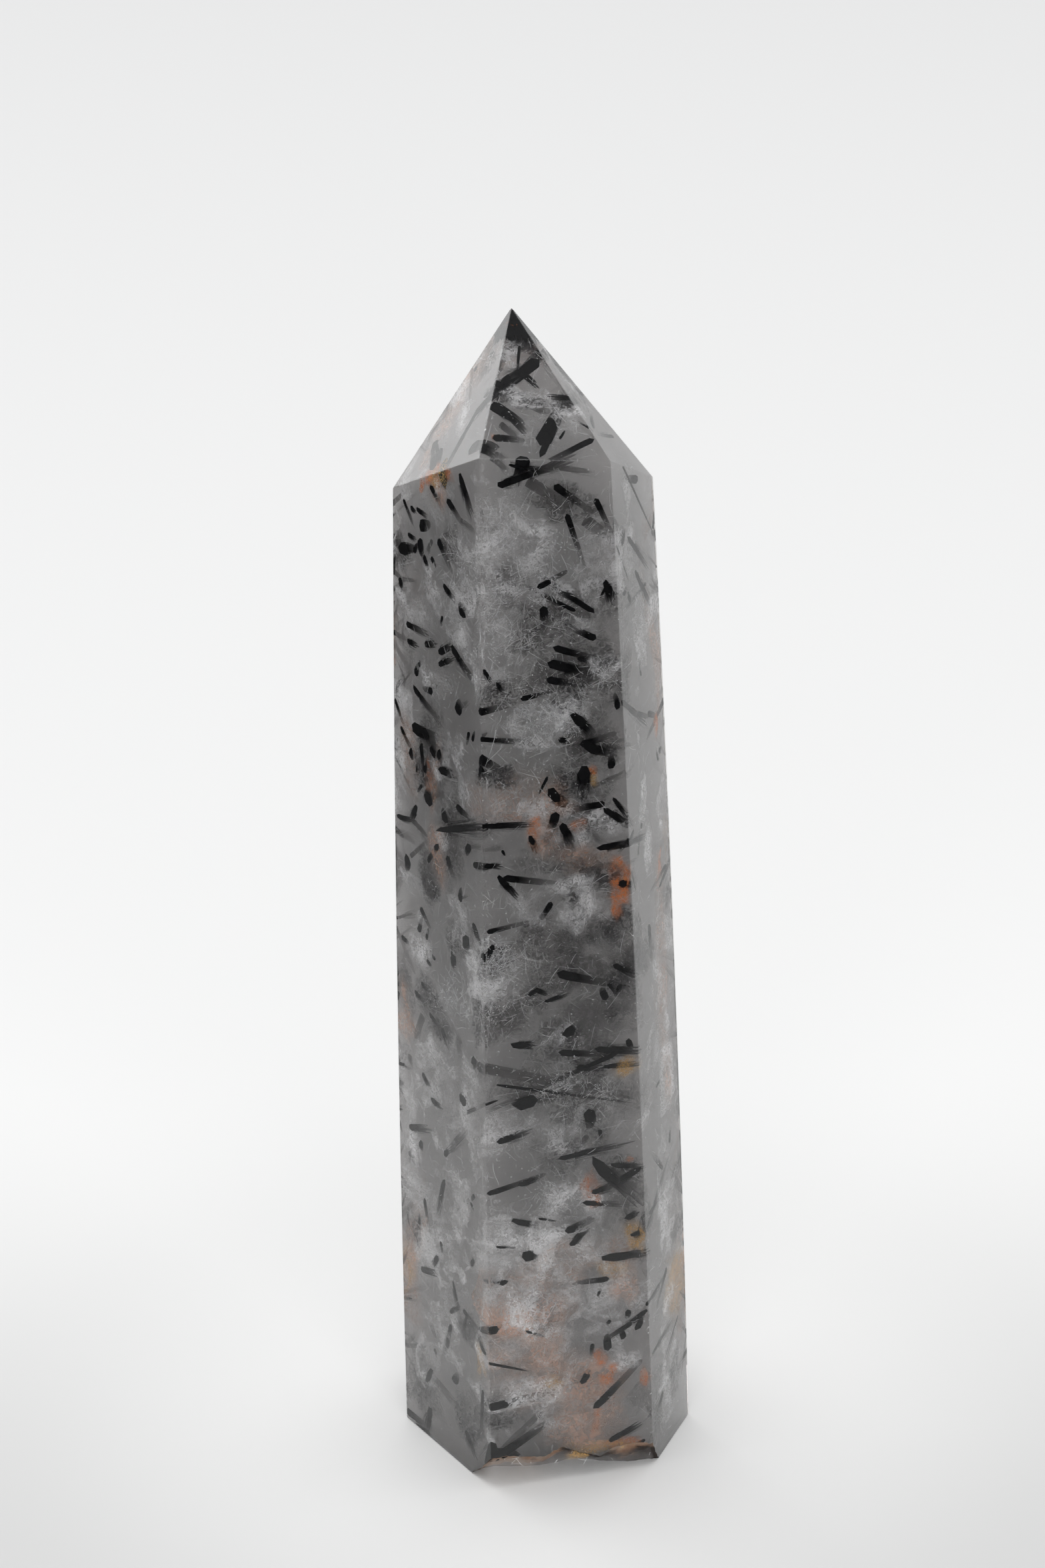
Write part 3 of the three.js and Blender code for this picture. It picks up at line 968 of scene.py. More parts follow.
frontSeen = (
    (752, 727, 775, 718, 10, 0.6), (772, 720, 845, 693, 10, 1.8), (785, 688, 780, 717, 17, 1.3),
    (793, 722, 860, 762, 14), (840, 702, 885, 708, 8), (880, 780, 915, 808, 15),
    (885, 914, 828, 876, 8, 1.4), (863, 916, 800, 885, 5, 1.6), (911, 878, 917, 900, 10, 0.8),
    (908, 882, 900, 898, 4, 1.2), (914, 884, 925, 893, 4, 1.2), (868, 988, 880, 991, 6, 0.5),
    (833, 998, 900, 1010, 12, 1.8), (716, 1109, 800, 1115, 7, 2.0), (717, 1148, 726, 1165, 8, 0.9),
    (867, 1079, 887, 1101, 13, 1.1), (887, 1122, 915, 1130, 12, 1.2), (905, 1118, 935, 1122, 7),
    (840, 1109, 850, 1112, 7, 0.5), (876, 1158, 875, 1188, 16, 1.0), (821, 1166, 808, 1192, 4, 0.8),
    (890, 1180, 935, 1158, 6), (830, 1191, 855, 1218, 14, 1.4), (875, 1240, 905, 1262, 8),
    (904, 1205, 862, 1214, 10, 1.2), (922, 1200, 938, 1222, 6, 0.6), (912, 1217, 941, 1236, 10, 1.0),
    (797, 1258, 804, 1275, 8, 0.7), (845, 1240, 857, 1264, 11, 1.1), (857, 1262, 862, 1279, 5),
    (906, 1272, 942, 1265, 9, 0.8), (933, 1325, 944, 1330, 11, 0.7), (751, 1319, 773, 1343, 8, 0.9),
    (880, 1300, 940, 1296, 6), (754, 1276, 758, 1284, 4, 0.5), (925, 1450, 950, 1460, 9, 0.8),
    (915, 1478, 924, 1489, 6, 0.8), (931, 1479, 924, 1489, 6, 0.8), (797, 1491, 806, 1485, 7, 0.4),
    (804, 1485, 818, 1490, 7, 0.7), (821, 1502, 848, 1492, 6, 0.8), (777, 1568, 800, 1568, 11, 0.9),
    (900, 1574, 953, 1576, 10, 0.8), (920, 1583, 725, 1670, 7, 3.2), (869, 1602, 900, 1602, 9, 1.2),
    (910, 1600, 950, 1596, 7, 0.7), (708, 1594, 732, 1605, 14), (728, 1603, 955, 1648, 14),
    (748, 1628, 957, 1655, 4, 1.8), (727, 1658, 748, 1650, 4, 0.6), (752, 1712, 790, 1697, 10, 1.1),
    (845, 1737, 918, 1720, 9, 0.9), (840, 1708, 862, 1725, 8), (880, 1705, 870, 1718, 8),
    (783, 1777, 805, 1769, 8, 0.7), (920, 1747, 960, 1750, 7, 0.7), (900, 1750, 948, 1793, 16, 1.5),
    (955, 1757, 912, 1780, 9, 1.1), (893, 1788, 915, 1780, 9, 1.1), (882, 1805, 925, 1806, 9, 1.2),
    (858, 1866, 878, 1845, 9, 0.9), (777, 1833, 803, 1838, 9, 0.8), (808, 1828, 835, 1832, 4, 0.5),
    (943, 1826, 955, 1820, 10, 0.7), (949, 1853, 965, 1846, 7, 0.6), (914, 1887, 965, 1880, 11, 0.8),
    (745, 1871, 775, 1872, 4, 0.5), (789, 1997, 820, 2005, 4, 0.7), (728, 2044, 794, 2057, 4, 0.8),
    (968, 1968, 945, 1985, 7, 0.7), (946, 1985, 915, 2005, 7, 1.3), (875, 2072, 885, 2057, 10, 0.8),
    (735, 2112, 855, 2082, 11, 2.4), (812, 2120, 745, 2180, 10), (918, 2160, 955, 2138, 9, 0.9),
    (738, 1422, 730, 1438, 8, 0.8), (730, 1240, 786, 1237, 8, 0.6), (730, 1299, 750, 1300, 7, 1.2),
    (726, 1005, 735, 1020, 5, 0.5), (746, 1026, 753, 1037, 5, 0.5), (918, 1148, 10, 11),
    (927, 1058, 8, 12), (908, 1495, 12, 14), (855, 1548, 14, 20), (944, 1563, 10, 12),
    (792, 1654, 36, 20), (808, 1650, 832, 1645, 10), (885, 1672, 18, 18), (890, 1668, 906, 1660, 7),
    (901, 1697, 6, 8), (791, 1884, 20, 16), (757, 1924, 12, 8), (899, 1938, 4, 4),
    (742, 1995, 14, 12), (748, 1992, 766, 1983, 7), (912, 2020, 12, 14), (935, 2005, 8, 12),
    (958, 1990, 8, 14), (943, 1968, 8, 8), (915, 1982, 6, 5), (889, 2018, 6, 7),
)
rightSeen = (
    (935, 700, 985, 810, 4, 1.4), (925, 818, 944, 873, 4, 0.9), (945, 810, 968, 845, 8, 1.3),
    (955, 860, 975, 905, 8, 1.3), (937, 1055, 965, 1080, 8, 1.4), (942, 1265, 966, 1255, 7, 0.8),
    (972, 1840, 1000, 1745, 6, 2.0), (975, 1820, 990, 1795, 6, 1.2), (955, 720, 18, 11),
    (936, 809, 10, 18), (937, 890, 7, 12), (944, 896, 8, 12), (973, 1070, 10, 8),
    (948, 1308, 955, 1338, 4, 0.8), (975, 2160, 6, 6), (985, 1630, 1002, 1600, 5, 1.2),
    (970, 1960, 996, 1915, 6, 1.5), (980, 2030, 1003, 1990, 6, 1.4), (990, 1330, 1004, 1290, 5, 1.3),
)
leftSeen = (
    (691, 718, 706, 766, 10, 1.4), (691, 780, 711, 793, 6), (606, 751, 617, 780, 6, 1.8),
    (589, 771, 5, 5), (617, 762, 623, 768, 6, 0.5), (626, 764, 638, 774, 6, 0.9), (632, 789, 16, 9),
    (613, 802, 622, 808, 6, 0.8), (630, 815, 10, 16), (622, 826, 8, 8), (648, 812, 641, 826, 6),
    (604, 824, 22, 14), (598, 815, 592, 806, 7), (657, 812, 690, 850, 10), (637, 838, 641, 850, 8, 0.9),
    (648, 838, 652, 848, 7, 0.9), (667, 881, 681, 898, 8, 1.1), (600, 870, 9, 10),
    (604, 868, 622, 872, 5), (663, 927, 5, 8), (693, 921, 10, 16), (696, 915, 706, 900, 5),
    (611, 936, 637, 950, 8, 2.0), (612, 962, 624, 968, 7, 1.0), (590, 948, 610, 960, 6),
    (639, 967, 652, 966, 8, 1.2), (660, 978, 676, 970, 8, 0.9), (680, 976, 708, 1018, 10, 1.8),
    (660, 997, 678, 988, 7, 1.2), (629, 998, 5, 5), (624, 1010, 8, 8), (622, 1033, 655, 1078, 8, 2.2),
    (646, 1036, 10, 9), (649, 1034, 659, 1028, 4), (593, 1050, 604, 1082, 5, 1.4),
    (602, 1092, 613, 1116, 7, 1.4), (616, 1127, 7, 12), (591, 1088, 4, 4), (687, 1066, 12, 14),
    (690, 1062, 701, 1052, 5), (703, 1101, 6, 8), (709, 1109, 6, 6), (622, 1093, 658, 1112, 14, 1.8),
    (632, 1120, 636, 1162, 8, 1.6), (648, 1130, 6, 14), (658, 1130, 7, 14), (637, 1155, 7, 8),
    (662, 1156, 678, 1162, 10, 1.0), (625, 1157, 4, 4), (632, 1179, 5, 5), (642, 1200, 16, 20),
    (646, 1196, 666, 1189, 7), (597, 1225, 618, 1230, 6, 0.8), (624, 1212, 618, 1228, 9, 0.9),
    (618, 1230, 642, 1256, 8), (667, 1228, 12, 14), (686, 1211, 700, 1225, 10, 1.2),
    (668, 1244, 726, 1241, 8, 0.5), (655, 1270, 8, 12), (703, 1272, 10, 13), (706, 1270, 722, 1270, 4),
    (611, 1290, 14, 14), (616, 1284, 640, 1262, 6), (642, 1292, 650, 1280, 6, 0.9),
    (711, 1298, 724, 1299, 8, 0.8), (690, 1349, 8, 10), (692, 1347, 703, 1343, 4),
    (595, 1377, 620, 1370, 4), (629, 1394, 9, 9), (604, 1406, 611, 1414, 7, 0.8), (640, 1407, 6, 6),
    (699, 1411, 14, 20), (710, 1388, 718, 1408, 9, 0.9), (725, 1432, 720, 1446, 6, 0.7),
    (680, 1440, 13, 16), (678, 1434, 678, 1421, 4, 0.8), (641, 1441, 646, 1448, 5, 0.5),
    (652, 1438, 5, 5), (633, 1476, 640, 1484, 7, 0.8), (624, 1490, 634, 1500, 7, 0.8),
    (590, 1473, 612, 1480, 6), (598, 1490, 6, 6), (634, 1525, 622, 1558, 10),
    (645, 1522, 664, 1548, 6, 1.2), (664, 1547, 672, 1570, 8, 2.0), (689, 1560, 689, 1582, 12),
    (615, 1584, 617, 1597, 8), (635, 1612, 642, 1628, 8, 0.9), (649, 1651, 660, 1660, 8, 0.9),
    (694, 1652, 12, 16), (616, 1691, 640, 1694, 9, 1.6), (631, 1715, 7, 12), (617, 1730, 625, 1752, 14),
    (668, 1731, 692, 1705, 8, 1.8), (711, 1794, 5, 5), (707, 1806, 5, 5), (665, 1775, 658, 1818, 7, 1.6),
    (629, 1835, 6, 6), (662, 1866, 7, 7), (655, 1888, 650, 1896, 8, 0.7), (634, 1905, 652, 1910, 8, 1.0),
    (707, 1898, 711, 1889, 6, 0.7), (680, 1925, 688, 1962, 5, 1.2), (676, 1968, 688, 1962, 6, 0.7),
    (700, 1975, 695, 1996, 5, 1.0), (676, 1990, 670, 2025, 7, 1.4), (727, 2030, 716, 2005, 6, 1.4),
    (648, 1992, 653, 2004, 8), (653, 2026, 653, 2038, 7), (610, 2018, 640, 2020, 6),
    (645, 2060, 635, 2088, 9, 1.8), (645, 2060, 690, 2110, 9), (682, 2072, 8, 14),
    (724, 2088, 722, 2148, 6, 1.0), (612, 2118, 640, 2140, 10, 1.8), (645, 2118, 640, 2145, 12, 1.4),
    (700, 2150, 712, 2180, 10, 1.2),
)


def seenNeedles(name, face, rows, onPoint=False):
    bm = bmesh.new()
    chooser = random.Random(name)
    for seen in rows:
        growWays[len(seen)](bm, face, seen, onPoint, chooser)
    return newPiece(name, bm, blackTourmaline)


seenNeedles("pointNeedles", "front", pointSeen, True)
seenNeedles("leftPointNeedles", "left", leftPointSeen, True)
seenNeedles("frontNeedles", "front", frontSeen)
seenNeedles("leftNeedles", "left", leftSeen)
seenNeedles("rightNeedles", "right", rightSeen)
print("needles of the seen faces grown")

# The faces that the photograph doesn't show have as many crystals, placed by chance
hiddenNeedles = {
    "faces": {"right": 14, "backRight": 60, "back": 70, "backLeft": 60},
    "pointFaces": {"right": 5, "backRight": 8, "back": 8, "backLeft": 8},
    "heights": (5, 79),
    "pointHeights": (81.5, 91),
    "margin": 0.06,
    "lengths": (1.0, 4.8),
    "wide": (0.22, 0.75),
    "slimmest": 0.6,  # how much narrower the ones are that lie along a face
    "dips": (14, 60),  # how steeply in degrees they lead into the stone
}


# A spot on a face by its share of the way across and its height, and the ways along the face
def spotAcross(face, across, height, onPoint=False):
    lines = []
    for name in faceEdges[face]:
        shoulder = Vector(stone["edges"][name][1])
        if onPoint:
            lines.append(lerp(shoulder, tip, (height - shoulder.z) / (tip.z - shoulder.z)))
        else:
            lines.append(edgePoint(name, height / shoulder.z))
    spot = lerp(*lines, across)
    normal = facePlane(face, height, onPoint)[1]
    level = (lines[1] - lines[0]).normalized()
    return spot, normal, level, normal.cross(level)


def hiddenPiece(name, counts, heights, onPoint):
    bm = bmesh.new()
    chooser = random.Random(name)
    for face, count in counts.items():
        for attempt in range(count):
            height = chooser.uniform(*heights)
            margin = hiddenNeedles["margin"]
            across = chooser.uniform(margin, 1 - margin)
            spot, normal, level, rise = spotAcross(face, across, height, onPoint)
            turn = chooser.uniform(0, math.tau)
            dip = math.radians(chooser.uniform(*hiddenNeedles["dips"]))
            length = chooser.uniform(*hiddenNeedles["lengths"])
            wide = chooser.uniform(*hiddenNeedles["wide"])
            wide *= lerp(hiddenNeedles["slimmest"], 1, math.sin(dip))
            thick = wide * chooser.uniform(needleShape["flattest"], needleShape["roundest"])
            way = turned(turned(level, rise, turn), -normal, dip)
            start = spot - way * (thick / math.sin(dip) + needleShape["outside"])
            growNeedle(bm, start, spot + way * length, wide, thick, normal, chooser)
            addHairyShadedEnd(start, spot + way * length, wide, normal, chooser)
    return newPiece(name, bm, blackTourmaline)


hiddenPiece("backNeedles", hiddenNeedles["faces"], hiddenNeedles["heights"], False)
hiddenPiece("backPointNeedles", hiddenNeedles["pointFaces"], hiddenNeedles["pointHeights"], True)
print("needles of the hidden faces grown")


# The strips' near-black is partly the fibres' colour and partly painted shade round the crystal's end
def hairAndShadeMaterial():
    plain = {"Base Color": needleHairAndShade["colour"], "Roughness": 0.7, "Specular IOR Level": 0.0}
    material, tree, shader = newMaterial("needleHairAndShade", plain)
    strip = node(tree, "TexCoord")["UV"]
    stretch = vectors(tree, "MULTIPLY", strip, needleHairAndShade["streaks"])
    streak = clouded(tree, stretch, 1, needleHairAndShade["streakDetail"], needleHairAndShade["streakRoughness"])
    thin = ramp(tree, streak, *needleHairAndShade["band"])
    across = maths(tree, "PINGPONG", axisOf(tree, strip, "X"), 0.5)
    rim = ramp(tree, across, 0, needleHairAndShade["rim"], 0, needleHairAndShade["cover"])
    left = ramp(tree, axisOf(tree, strip, "Y"), needleHairAndShade["fadeFrom"], 1, 1, 0)
    covered = maths(tree, "MULTIPLY", maths(tree, "MULTIPLY", thin, rim), left)
    tree.links.new(covered, shader["Alpha"])
    return material


onlyStraightSeen(newPiece("needleHairAndShade", hairAndShadeStrips, hairAndShadeMaterial()))
print("hairy ends added")

# The black mass in the tip: crystals side by side in a spiral, with a ragged lower edge
tipBundle = {
    "count": 90,
    "top": 95.5,
    "bottoms": (91.6, 92.9),
    "lower": 0.25,  # how much lower it reaches towards the right
    "spread": 1.7,
    "turn": 2.4,  # how far round the next crystal stands from the one before it
    "wide": (0.4, 0.85),
    "flat": 0.8,
    "lean": 0.35,
    "fades": (0.0, 0.35),
}


def addTipBundle():
    bm = bmesh.new()
    chooser = random.Random("tipBundle")
    for k in range(tipBundle["count"]):
        away = tipBundle["spread"] * math.sqrt((k + 0.5) / tipBundle["count"])
        turn = k * tipBundle["turn"]
        lean = tipBundle["lean"]
        foot = Vector((tip.x + away * math.cos(turn), tip.y + away * math.sin(turn), 0))
        foot.z = chooser.uniform(*tipBundle["bottoms"]) - (foot.x - tip.x) * tipBundle["lower"]
        head = foot + Vector((chooser.uniform(-lean, lean), chooser.uniform(-lean, lean), 0))
        head.z = tipBundle["top"]
        wide = chooser.uniform(*tipBundle["wide"])
        thick = wide * tipBundle["flat"]
        growNeedle(bm, head, foot, wide, thick, Vector((0, 1, 0)), chooser, tipBundle["fades"])
    piece = newPiece("tipNeedles", bm, blackTourmaline)
    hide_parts("tourmaline_tip")


addTipBundle()
print("tip filled")

# Clouds in the stone: milky and smoky wisps, peach tints and iron stains, each a few thin sheets
# one behind another. The milky wisps are partly painted light and the smoky ones partly painted
# shade. A row is a middle pixel, its depth in mm, and its width and height in pixels.
# Names that end in Point are faces of the point. Faces that aren't seen have theirs by chance.
clouds = {
    "milk": {
        "colours": ((1.0, 1.0, 1.0, 1), (0.92, 0.91, 0.93, 1)),
        "cover": 0.95,
        "hair": 1.3,
        "scale": 400,
        "band": (0.42, 0.76),
        "fill": 0.07,
        "grow": 2.1,
        "sheets": 1,
        "hidden": 20,
        "small": 8,
        # The wide milky clouds low on the front face are partly painted light, for the floor's light
        # that brightens the foot of the stone
        "front": (
            (738, 800, 0.9, 100, 220), (730, 990, 0.7, 110, 110), (806, 1085, 0.5, 100, 90),
            (848, 1085, 0.4, 60, 50), (762, 1215, 1.1, 120, 70), (745, 1475, 0.8, 120, 130),
            (830, 1960, 1.4, 240, 200), (800, 800, 1.0, 110, 90), (850, 2110, 1.2, 200, 90),
            (770, 1850, 1.8, 180, 140), (900, 1950, 1.2, 110, 160), (760, 2000, 1.6, 110, 160),
            (838, 1345, 1.1, 140, 80), (845, 1628, 1.0, 50, 30), (770, 1700, 1.0, 130, 100),
            (846, 1790, 0.7, 100, 60), (752, 1838, 1.2, 80, 80), (822, 1960, 1.6, 170, 130),
            (905, 1004, 0.4, 50, 50), (902, 860, 1.1, 80, 120), (870, 1240, 1.2, 110, 70),
            (840, 1690, 1.8, 150, 80), (780, 2090, 1.0, 130, 70), (735, 2155, 0.5, 40, 40),
            (800, 1900, 1.7, 120, 80), (870, 2010, 1.4, 120, 80), (850, 1560, 1.2, 80, 50),
        ),
        "frontPoint": ((830, 640, 0.7, 90, 60), (770, 540, 0.5, 40, 40), (790, 600, 0.9, 70, 30)),
        "leftPoint": ((700, 620, 0.8, 40, 60),),
        "left": (
            (700, 850, 0.7, 60, 170), (690, 950, 0.7, 80, 110), (650, 1010, 1.1, 80, 80),
            (710, 1480, 0.6, 70, 120), (645, 745, 1.0, 90, 80), (618, 900, 1.0, 50, 90),
            (660, 1950, 0.7, 120, 180), (670, 1780, 0.8, 100, 140), (640, 880, 0.8, 80, 120),
            (680, 1690, 0.9, 80, 140), (620, 1660, 1.0, 50, 130), (680, 1385, 1.0, 70, 90),
            (655, 1590, 1.1, 90, 120), (640, 1900, 1.1, 100, 130), (670, 1120, 1.1, 60, 60),
            (640, 2050, 1.0, 80, 100), (690, 1800, 0.9, 70, 120), (620, 1780, 1.0, 50, 100),
            (640, 1600, 0.6, 60, 160), (618, 1700, 0.6, 50, 200), (700, 1650, 0.7, 50, 150),
            (650, 1850, 0.7, 90, 160), (690, 2000, 0.7, 80, 140), (630, 1400, 0.7, 60, 100),
            (612, 1060, 0.7, 50, 90), (605, 1180, 0.7, 40, 160), (700, 1190, 0.8, 50, 120),
        ),
        "right": (
            (950, 900, 0.8, 50, 240), (968, 1200, 0.8, 50, 260), (982, 1500, 0.8, 60, 260),
            (998, 1850, 0.9, 60, 300), (940, 760, 0.8, 50, 120), (1000, 2080, 0.8, 60, 120),
            (1000, 1700, 0.6, 50, 300), (1005, 1980, 0.6, 50, 240),
        ),
    },
    # Smoky wisps: partly the stone's own dark smoky zones, partly painted shade round the needle
    # clusters
    "smoke": {
        "colours": ((0.02, 0.02, 0.022, 1), (0.06, 0.057, 0.06, 1)),
        "cover": 0.96,
        "hair": 0.0,
        "scale": 300,
        "band": (0.38, 0.76),
        "fill": 0.12,
        "grow": 1.7,
        "sheets": 2,
        "hidden": 11,
        "small": 5,
        "front": (
            (850, 748, 1.1, 110, 60), (832, 935, 1.2, 120, 110),
            (884, 1010, 1.2, 130, 170), (902, 1110, 1.0, 90, 120), (872, 1190, 1.0, 110, 130),
            (893, 1440, 1.1, 160, 160), (797, 1452, 1.3, 110, 150), (880, 1552, 1.2, 160, 120),
            (748, 1532, 1.3, 100, 90), (800, 1635, 1.3, 140, 80), (738, 2125, 1.1, 120, 110),
            (920, 1768, 1.0, 100, 120), (842, 1722, 1.2, 100, 80), (905, 1650, 1.2, 130, 90),
            (890, 1450, 1.3, 150, 120), (870, 1530, 1.3, 120, 80), (930, 1500, 1.2, 60, 120),
            (815, 1015, 1.4, 110, 60), (755, 1035, 1.3, 110, 50), (905, 1340, 1.3, 90, 120),
            (760, 880, 1.3, 60, 60), (880, 900, 1.3, 110, 80), (850, 1290, 1.3, 120, 50),
        ),
        "frontPoint": (
            (778, 512, 0.3, 52, 30), (800, 522, 0.4, 40, 20), (780, 600, 1.0, 90, 26),
            (840, 610, 0.7, 40, 30),
        ),
        "leftPoint": ((742, 508, 0.5, 30, 36), (733, 520, 0.6, 24, 22)),
        "left": (
            (676, 815, 1.1, 50, 90), (650, 1150, 1.1, 80, 210), (682, 1262, 1.3, 90, 160),
            (640, 1300, 1.2, 60, 110), (690, 1400, 1.4, 70, 80), (640, 2090, 1.2, 80, 130),
            (705, 2120, 1.2, 70, 120), (610, 1480, 1.2, 50, 110), (645, 1500, 1.0, 70, 110),
            (600, 830, 0.9, 50, 60),
        ),
        "right": ((965, 1830, 1.0, 50, 160), (985, 2100, 1.0, 60, 120)),
    },
    "peach": {
        "colours": ((0.85, 0.50, 0.34, 1), (0.72, 0.48, 0.38, 1)),
        "cover": 0.60,
        "hair": 0.1,
        "scale": 260,
        "band": (0.30, 0.80),
        "fill": 0.14,
        "grow": 1.8,
        "sheets": 1,
        "hidden": 7,
        "small": 0,
        "front": (
            (800, 1965, 1.2, 190, 170), (765, 2050, 1.1, 130, 80), (862, 1900, 1.3, 120, 90),
            (850, 2055, 1.1, 110, 80), (925, 1890, 0.9, 60, 120), (850, 2150, 1.1, 160, 60),
            (800, 2080, 0.8, 190, 110), (900, 2090, 0.8, 110, 110), (790, 2000, 0.9, 180, 100),
            (800, 1180, 1.2, 160, 90), (900, 1290, 1.0, 90, 60), (815, 1260, 1.2, 70, 50),
        ),
        "leftPoint": ((640, 690, 0.7, 60, 40), (748, 494, 0.4, 20, 12)),
        "left": (
            (622, 1815, 0.9, 60, 170), (612, 1120, 1.0, 40, 150), (650, 1260, 1.1, 80, 110),
            (655, 1180, 0.8, 60, 120), (660, 740, 0.9, 70, 60), (620, 1950, 0.9, 50, 120),
        ),
        "right": ((982, 960, 0.9, 40, 330), (990, 1350, 0.9, 40, 330), (996, 1600, 0.9, 40, 200)),
    },
    "orange": {
        "colours": ((0.95, 0.33, 0.10, 1), (0.62, 0.20, 0.08, 1)),
        "cover": 0.88,
        "hair": 0.0,
        "scale": 1100,
        "band": (0.34, 0.86),
        "fill": 0.16,
        "grow": 1.8,
        "sheets": 2,
        "hidden": 1,
        "small": 0,
        "front": (
            (933, 1345, 0.20, 24, 50), (928, 1368, 0.20, 16, 34), (926, 1300, 0.4, 24, 44),
            (938, 1318, 0.3, 18, 36), (804, 1242, 0.5, 22, 40), (892, 1780, 0.4, 34, 60),
            (903, 2036, 0.5, 22, 28), (910, 2072, 0.5, 20, 22), (922, 2048, 0.4, 14, 20),
            (966, 2066, 0.4, 14, 34), (893, 2130, 0.7, 12, 60), (872, 1238, 0.6, 28, 22),
            (945, 1738, 0.3, 14, 14), (930, 2165, 0.4, 70, 26), (893, 1157, 0.4, 16, 18),
        ),
        "frontPoint": ((772, 487, 0.12, 36, 8), (741, 657, 0.3, 8, 12)),
        "leftPoint": ((752, 492, 0.3, 14, 14),),
        "left": (
            (671, 710, 0.3, 22, 30), (643, 714, 0.3, 24, 28), (634, 730, 0.3, 14, 20),
            (645, 1165, 0.9, 20, 50), (655, 728, 0.4, 20, 26), (652, 700, 0.3, 26, 18),
        ),
        "right": ((985, 1080, 0.4, 20, 40), (990, 1290, 0.4, 16, 50)),
    },
    "ochre": {
        "colours": ((0.85, 0.52, 0.17, 1), (0.60, 0.37, 0.17, 1)),
        "cover": 0.75,
        "hair": 0.0,
        "scale": 900,
        "band": (0.30, 0.88),
        "fill": 0.24,
        "grow": 1.8,
        "sheets": 2,
        "hidden": 1,
        "small": 0,
        "front": (
            (935, 1605, 0.4, 50, 40), (951, 1850, 0.3, 24, 56), (920, 1902, 0.7, 46, 30),
            (830, 2072, 0.7, 30, 24), (880, 2172, 0.5, 100, 26), (890, 1168, 0.5, 18, 20),
        ),
        "left": ((722, 2050, 0.5, 22, 70), (650, 722, 0.4, 26, 22)),
    },
}
veilShape = {
    "rings": 6,
    "sides": 24,
    "ragged": (1.6, 0.35),  # how close together the rim's waves are, and how deep
    "wave": (0.35, 0.22),  # the same for the sheet's own waves
    "seeds": (0, 90),
    "tilt": 26,  # the most that a sheet is tilted, in degrees
    "under": 0.10,
    "shuffle": 0.22,
    "sizes": (0.75, 1.1),  # of each sheet, as a share of its cloud's
    "deeper": (0.85, 0.4),  # the first sheet's share of its cloud's depth, and what each one adds
    "hiddenSize": (6.0, 15.0),
    "smallSize": (3.0, 7.0),
    "margin": 0.1,
    "heights": (4, 81),
    "pointHeights": (86.5, 91),
    "pointShare": 0.12,
    "depths": (0.4, 1.3),
}


# A ragged round sheet in mm, waved and tilted against the face, with the rim at the UV circle
def addVeil(bm, uvLayer, middle, normal, half, chooser):
    level = waysAlong(normal)[0]
    tilt = math.radians(veilShape["tilt"])
    turn = Matrix.Rotation(chooser.uniform(-tilt, tilt), 3, level)
    turn = Matrix.Rotation(chooser.uniform(-tilt, tilt), 3, "Z") @ turn
    out = turn @ normal
    across = turn @ level
    rise = out.cross(across)
    seed = Vector([chooser.uniform(*veilShape["seeds"]) for k in range(3)])
    rings, sides = veilShape["rings"], veilShape["sides"]
    rimNear, rimDeep = veilShape["ragged"]
    waveNear, waveDeep = veilShape["wave"]
    grid = []
    for ring in range(rings + 1):
        share = ring / rings
        spots = []
        for k in range(sides if ring else 1):
            angle = k * math.tau / sides
            way = Vector((math.cos(angle), math.sin(angle), 0))
            reach = share * (1 + rimDeep * noise.noise(way * rimNear + seed))
            spot = middle + across * (way.x * reach * half[0]) + rise * (way.y * reach * half[1])
            spot += out * (noise.noise(spot * waveNear + seed) * waveDeep * min(half) * 2)
            vertex = bm.verts.new(keptInside(spot, veilShape["under"]) * mm)
            spots.append((vertex, (0.5 + way.x * share / 2, 0.5 + way.y * share / 2)))
        grid.append(spots)
    for ring in range(rings):
        for k in range(sides):
            n = (k + 1) % sides
            outer = [grid[ring + 1][k], grid[ring + 1][n]]
            inner = [grid[ring][n], grid[ring][k]] if ring else [grid[0][0]]
            addFace(bm, uvLayer, outer + inner).smooth = True


# A wispy mask that fades out towards a sheet's rim, with fine hairs, and its grain
wispShape = {
    "broad": (4, 0.62, 0.5),  # detail, roughness and distortion
    "fine": (1, 0.7, 2.2),
    "finer": 5.0,
    "fillBand": (0.16, 0.5),
    "rimFill": -0.36,
    "texture": (0.38, 0.64, 0.3, 1),
    "ridge": 0.03,
    "rim": (0.40, 0.49),
}


def wispGroup():
    values = ("Scale", "Low", "High", "Cover", "Hair", "Fill")
    given = {"Position": "Vector", "Sheet": "Vector", **dict.fromkeys(values, "Float")}
    group, entry, end = newGroup("wisps", given, {"Mask": "Float", "Grain": "Float"})
    place, scale = entry["Position"], entry["Scale"]
    broad = clouded(group, place, scale, *wispShape["broad"])
    finer = maths(group, "MULTIPLY", scale, wispShape["finer"])
    fine = clouded(group, place, finer, *wispShape["fine"])
    away = vectors(group, "DISTANCE", entry["Sheet"], squareMiddle)
    fill = ramp(group, away, *wispShape["fillBand"], entry["Fill"], wispShape["rimFill"])
    body = ramp(group, maths(group, "ADD", broad, fill), entry["Low"], entry["High"])
    texture = ramp(group, fine, *wispShape["texture"])
    fromRidge = maths(group, "ABSOLUTE", maths(group, "SUBTRACT", fine, 0.5))
    ridge = ramp(group, fromRidge, 0, wispShape["ridge"], 1, 0)
    drawn = maths(group, "ADD", texture, maths(group, "MULTIPLY", ridge, entry["Hair"]))
    covered = maths(group, "MULTIPLY", maths(group, "MULTIPLY", body, drawn), entry["Cover"])
    rim = ramp(group, away, *wispShape["rim"], 1, 0)
    group.links.new(maths(group, "MULTIPLY", covered, rim), end["Mask"])
    group.links.new(fine, end["Grain"])
    return group


wisps = wispGroup()


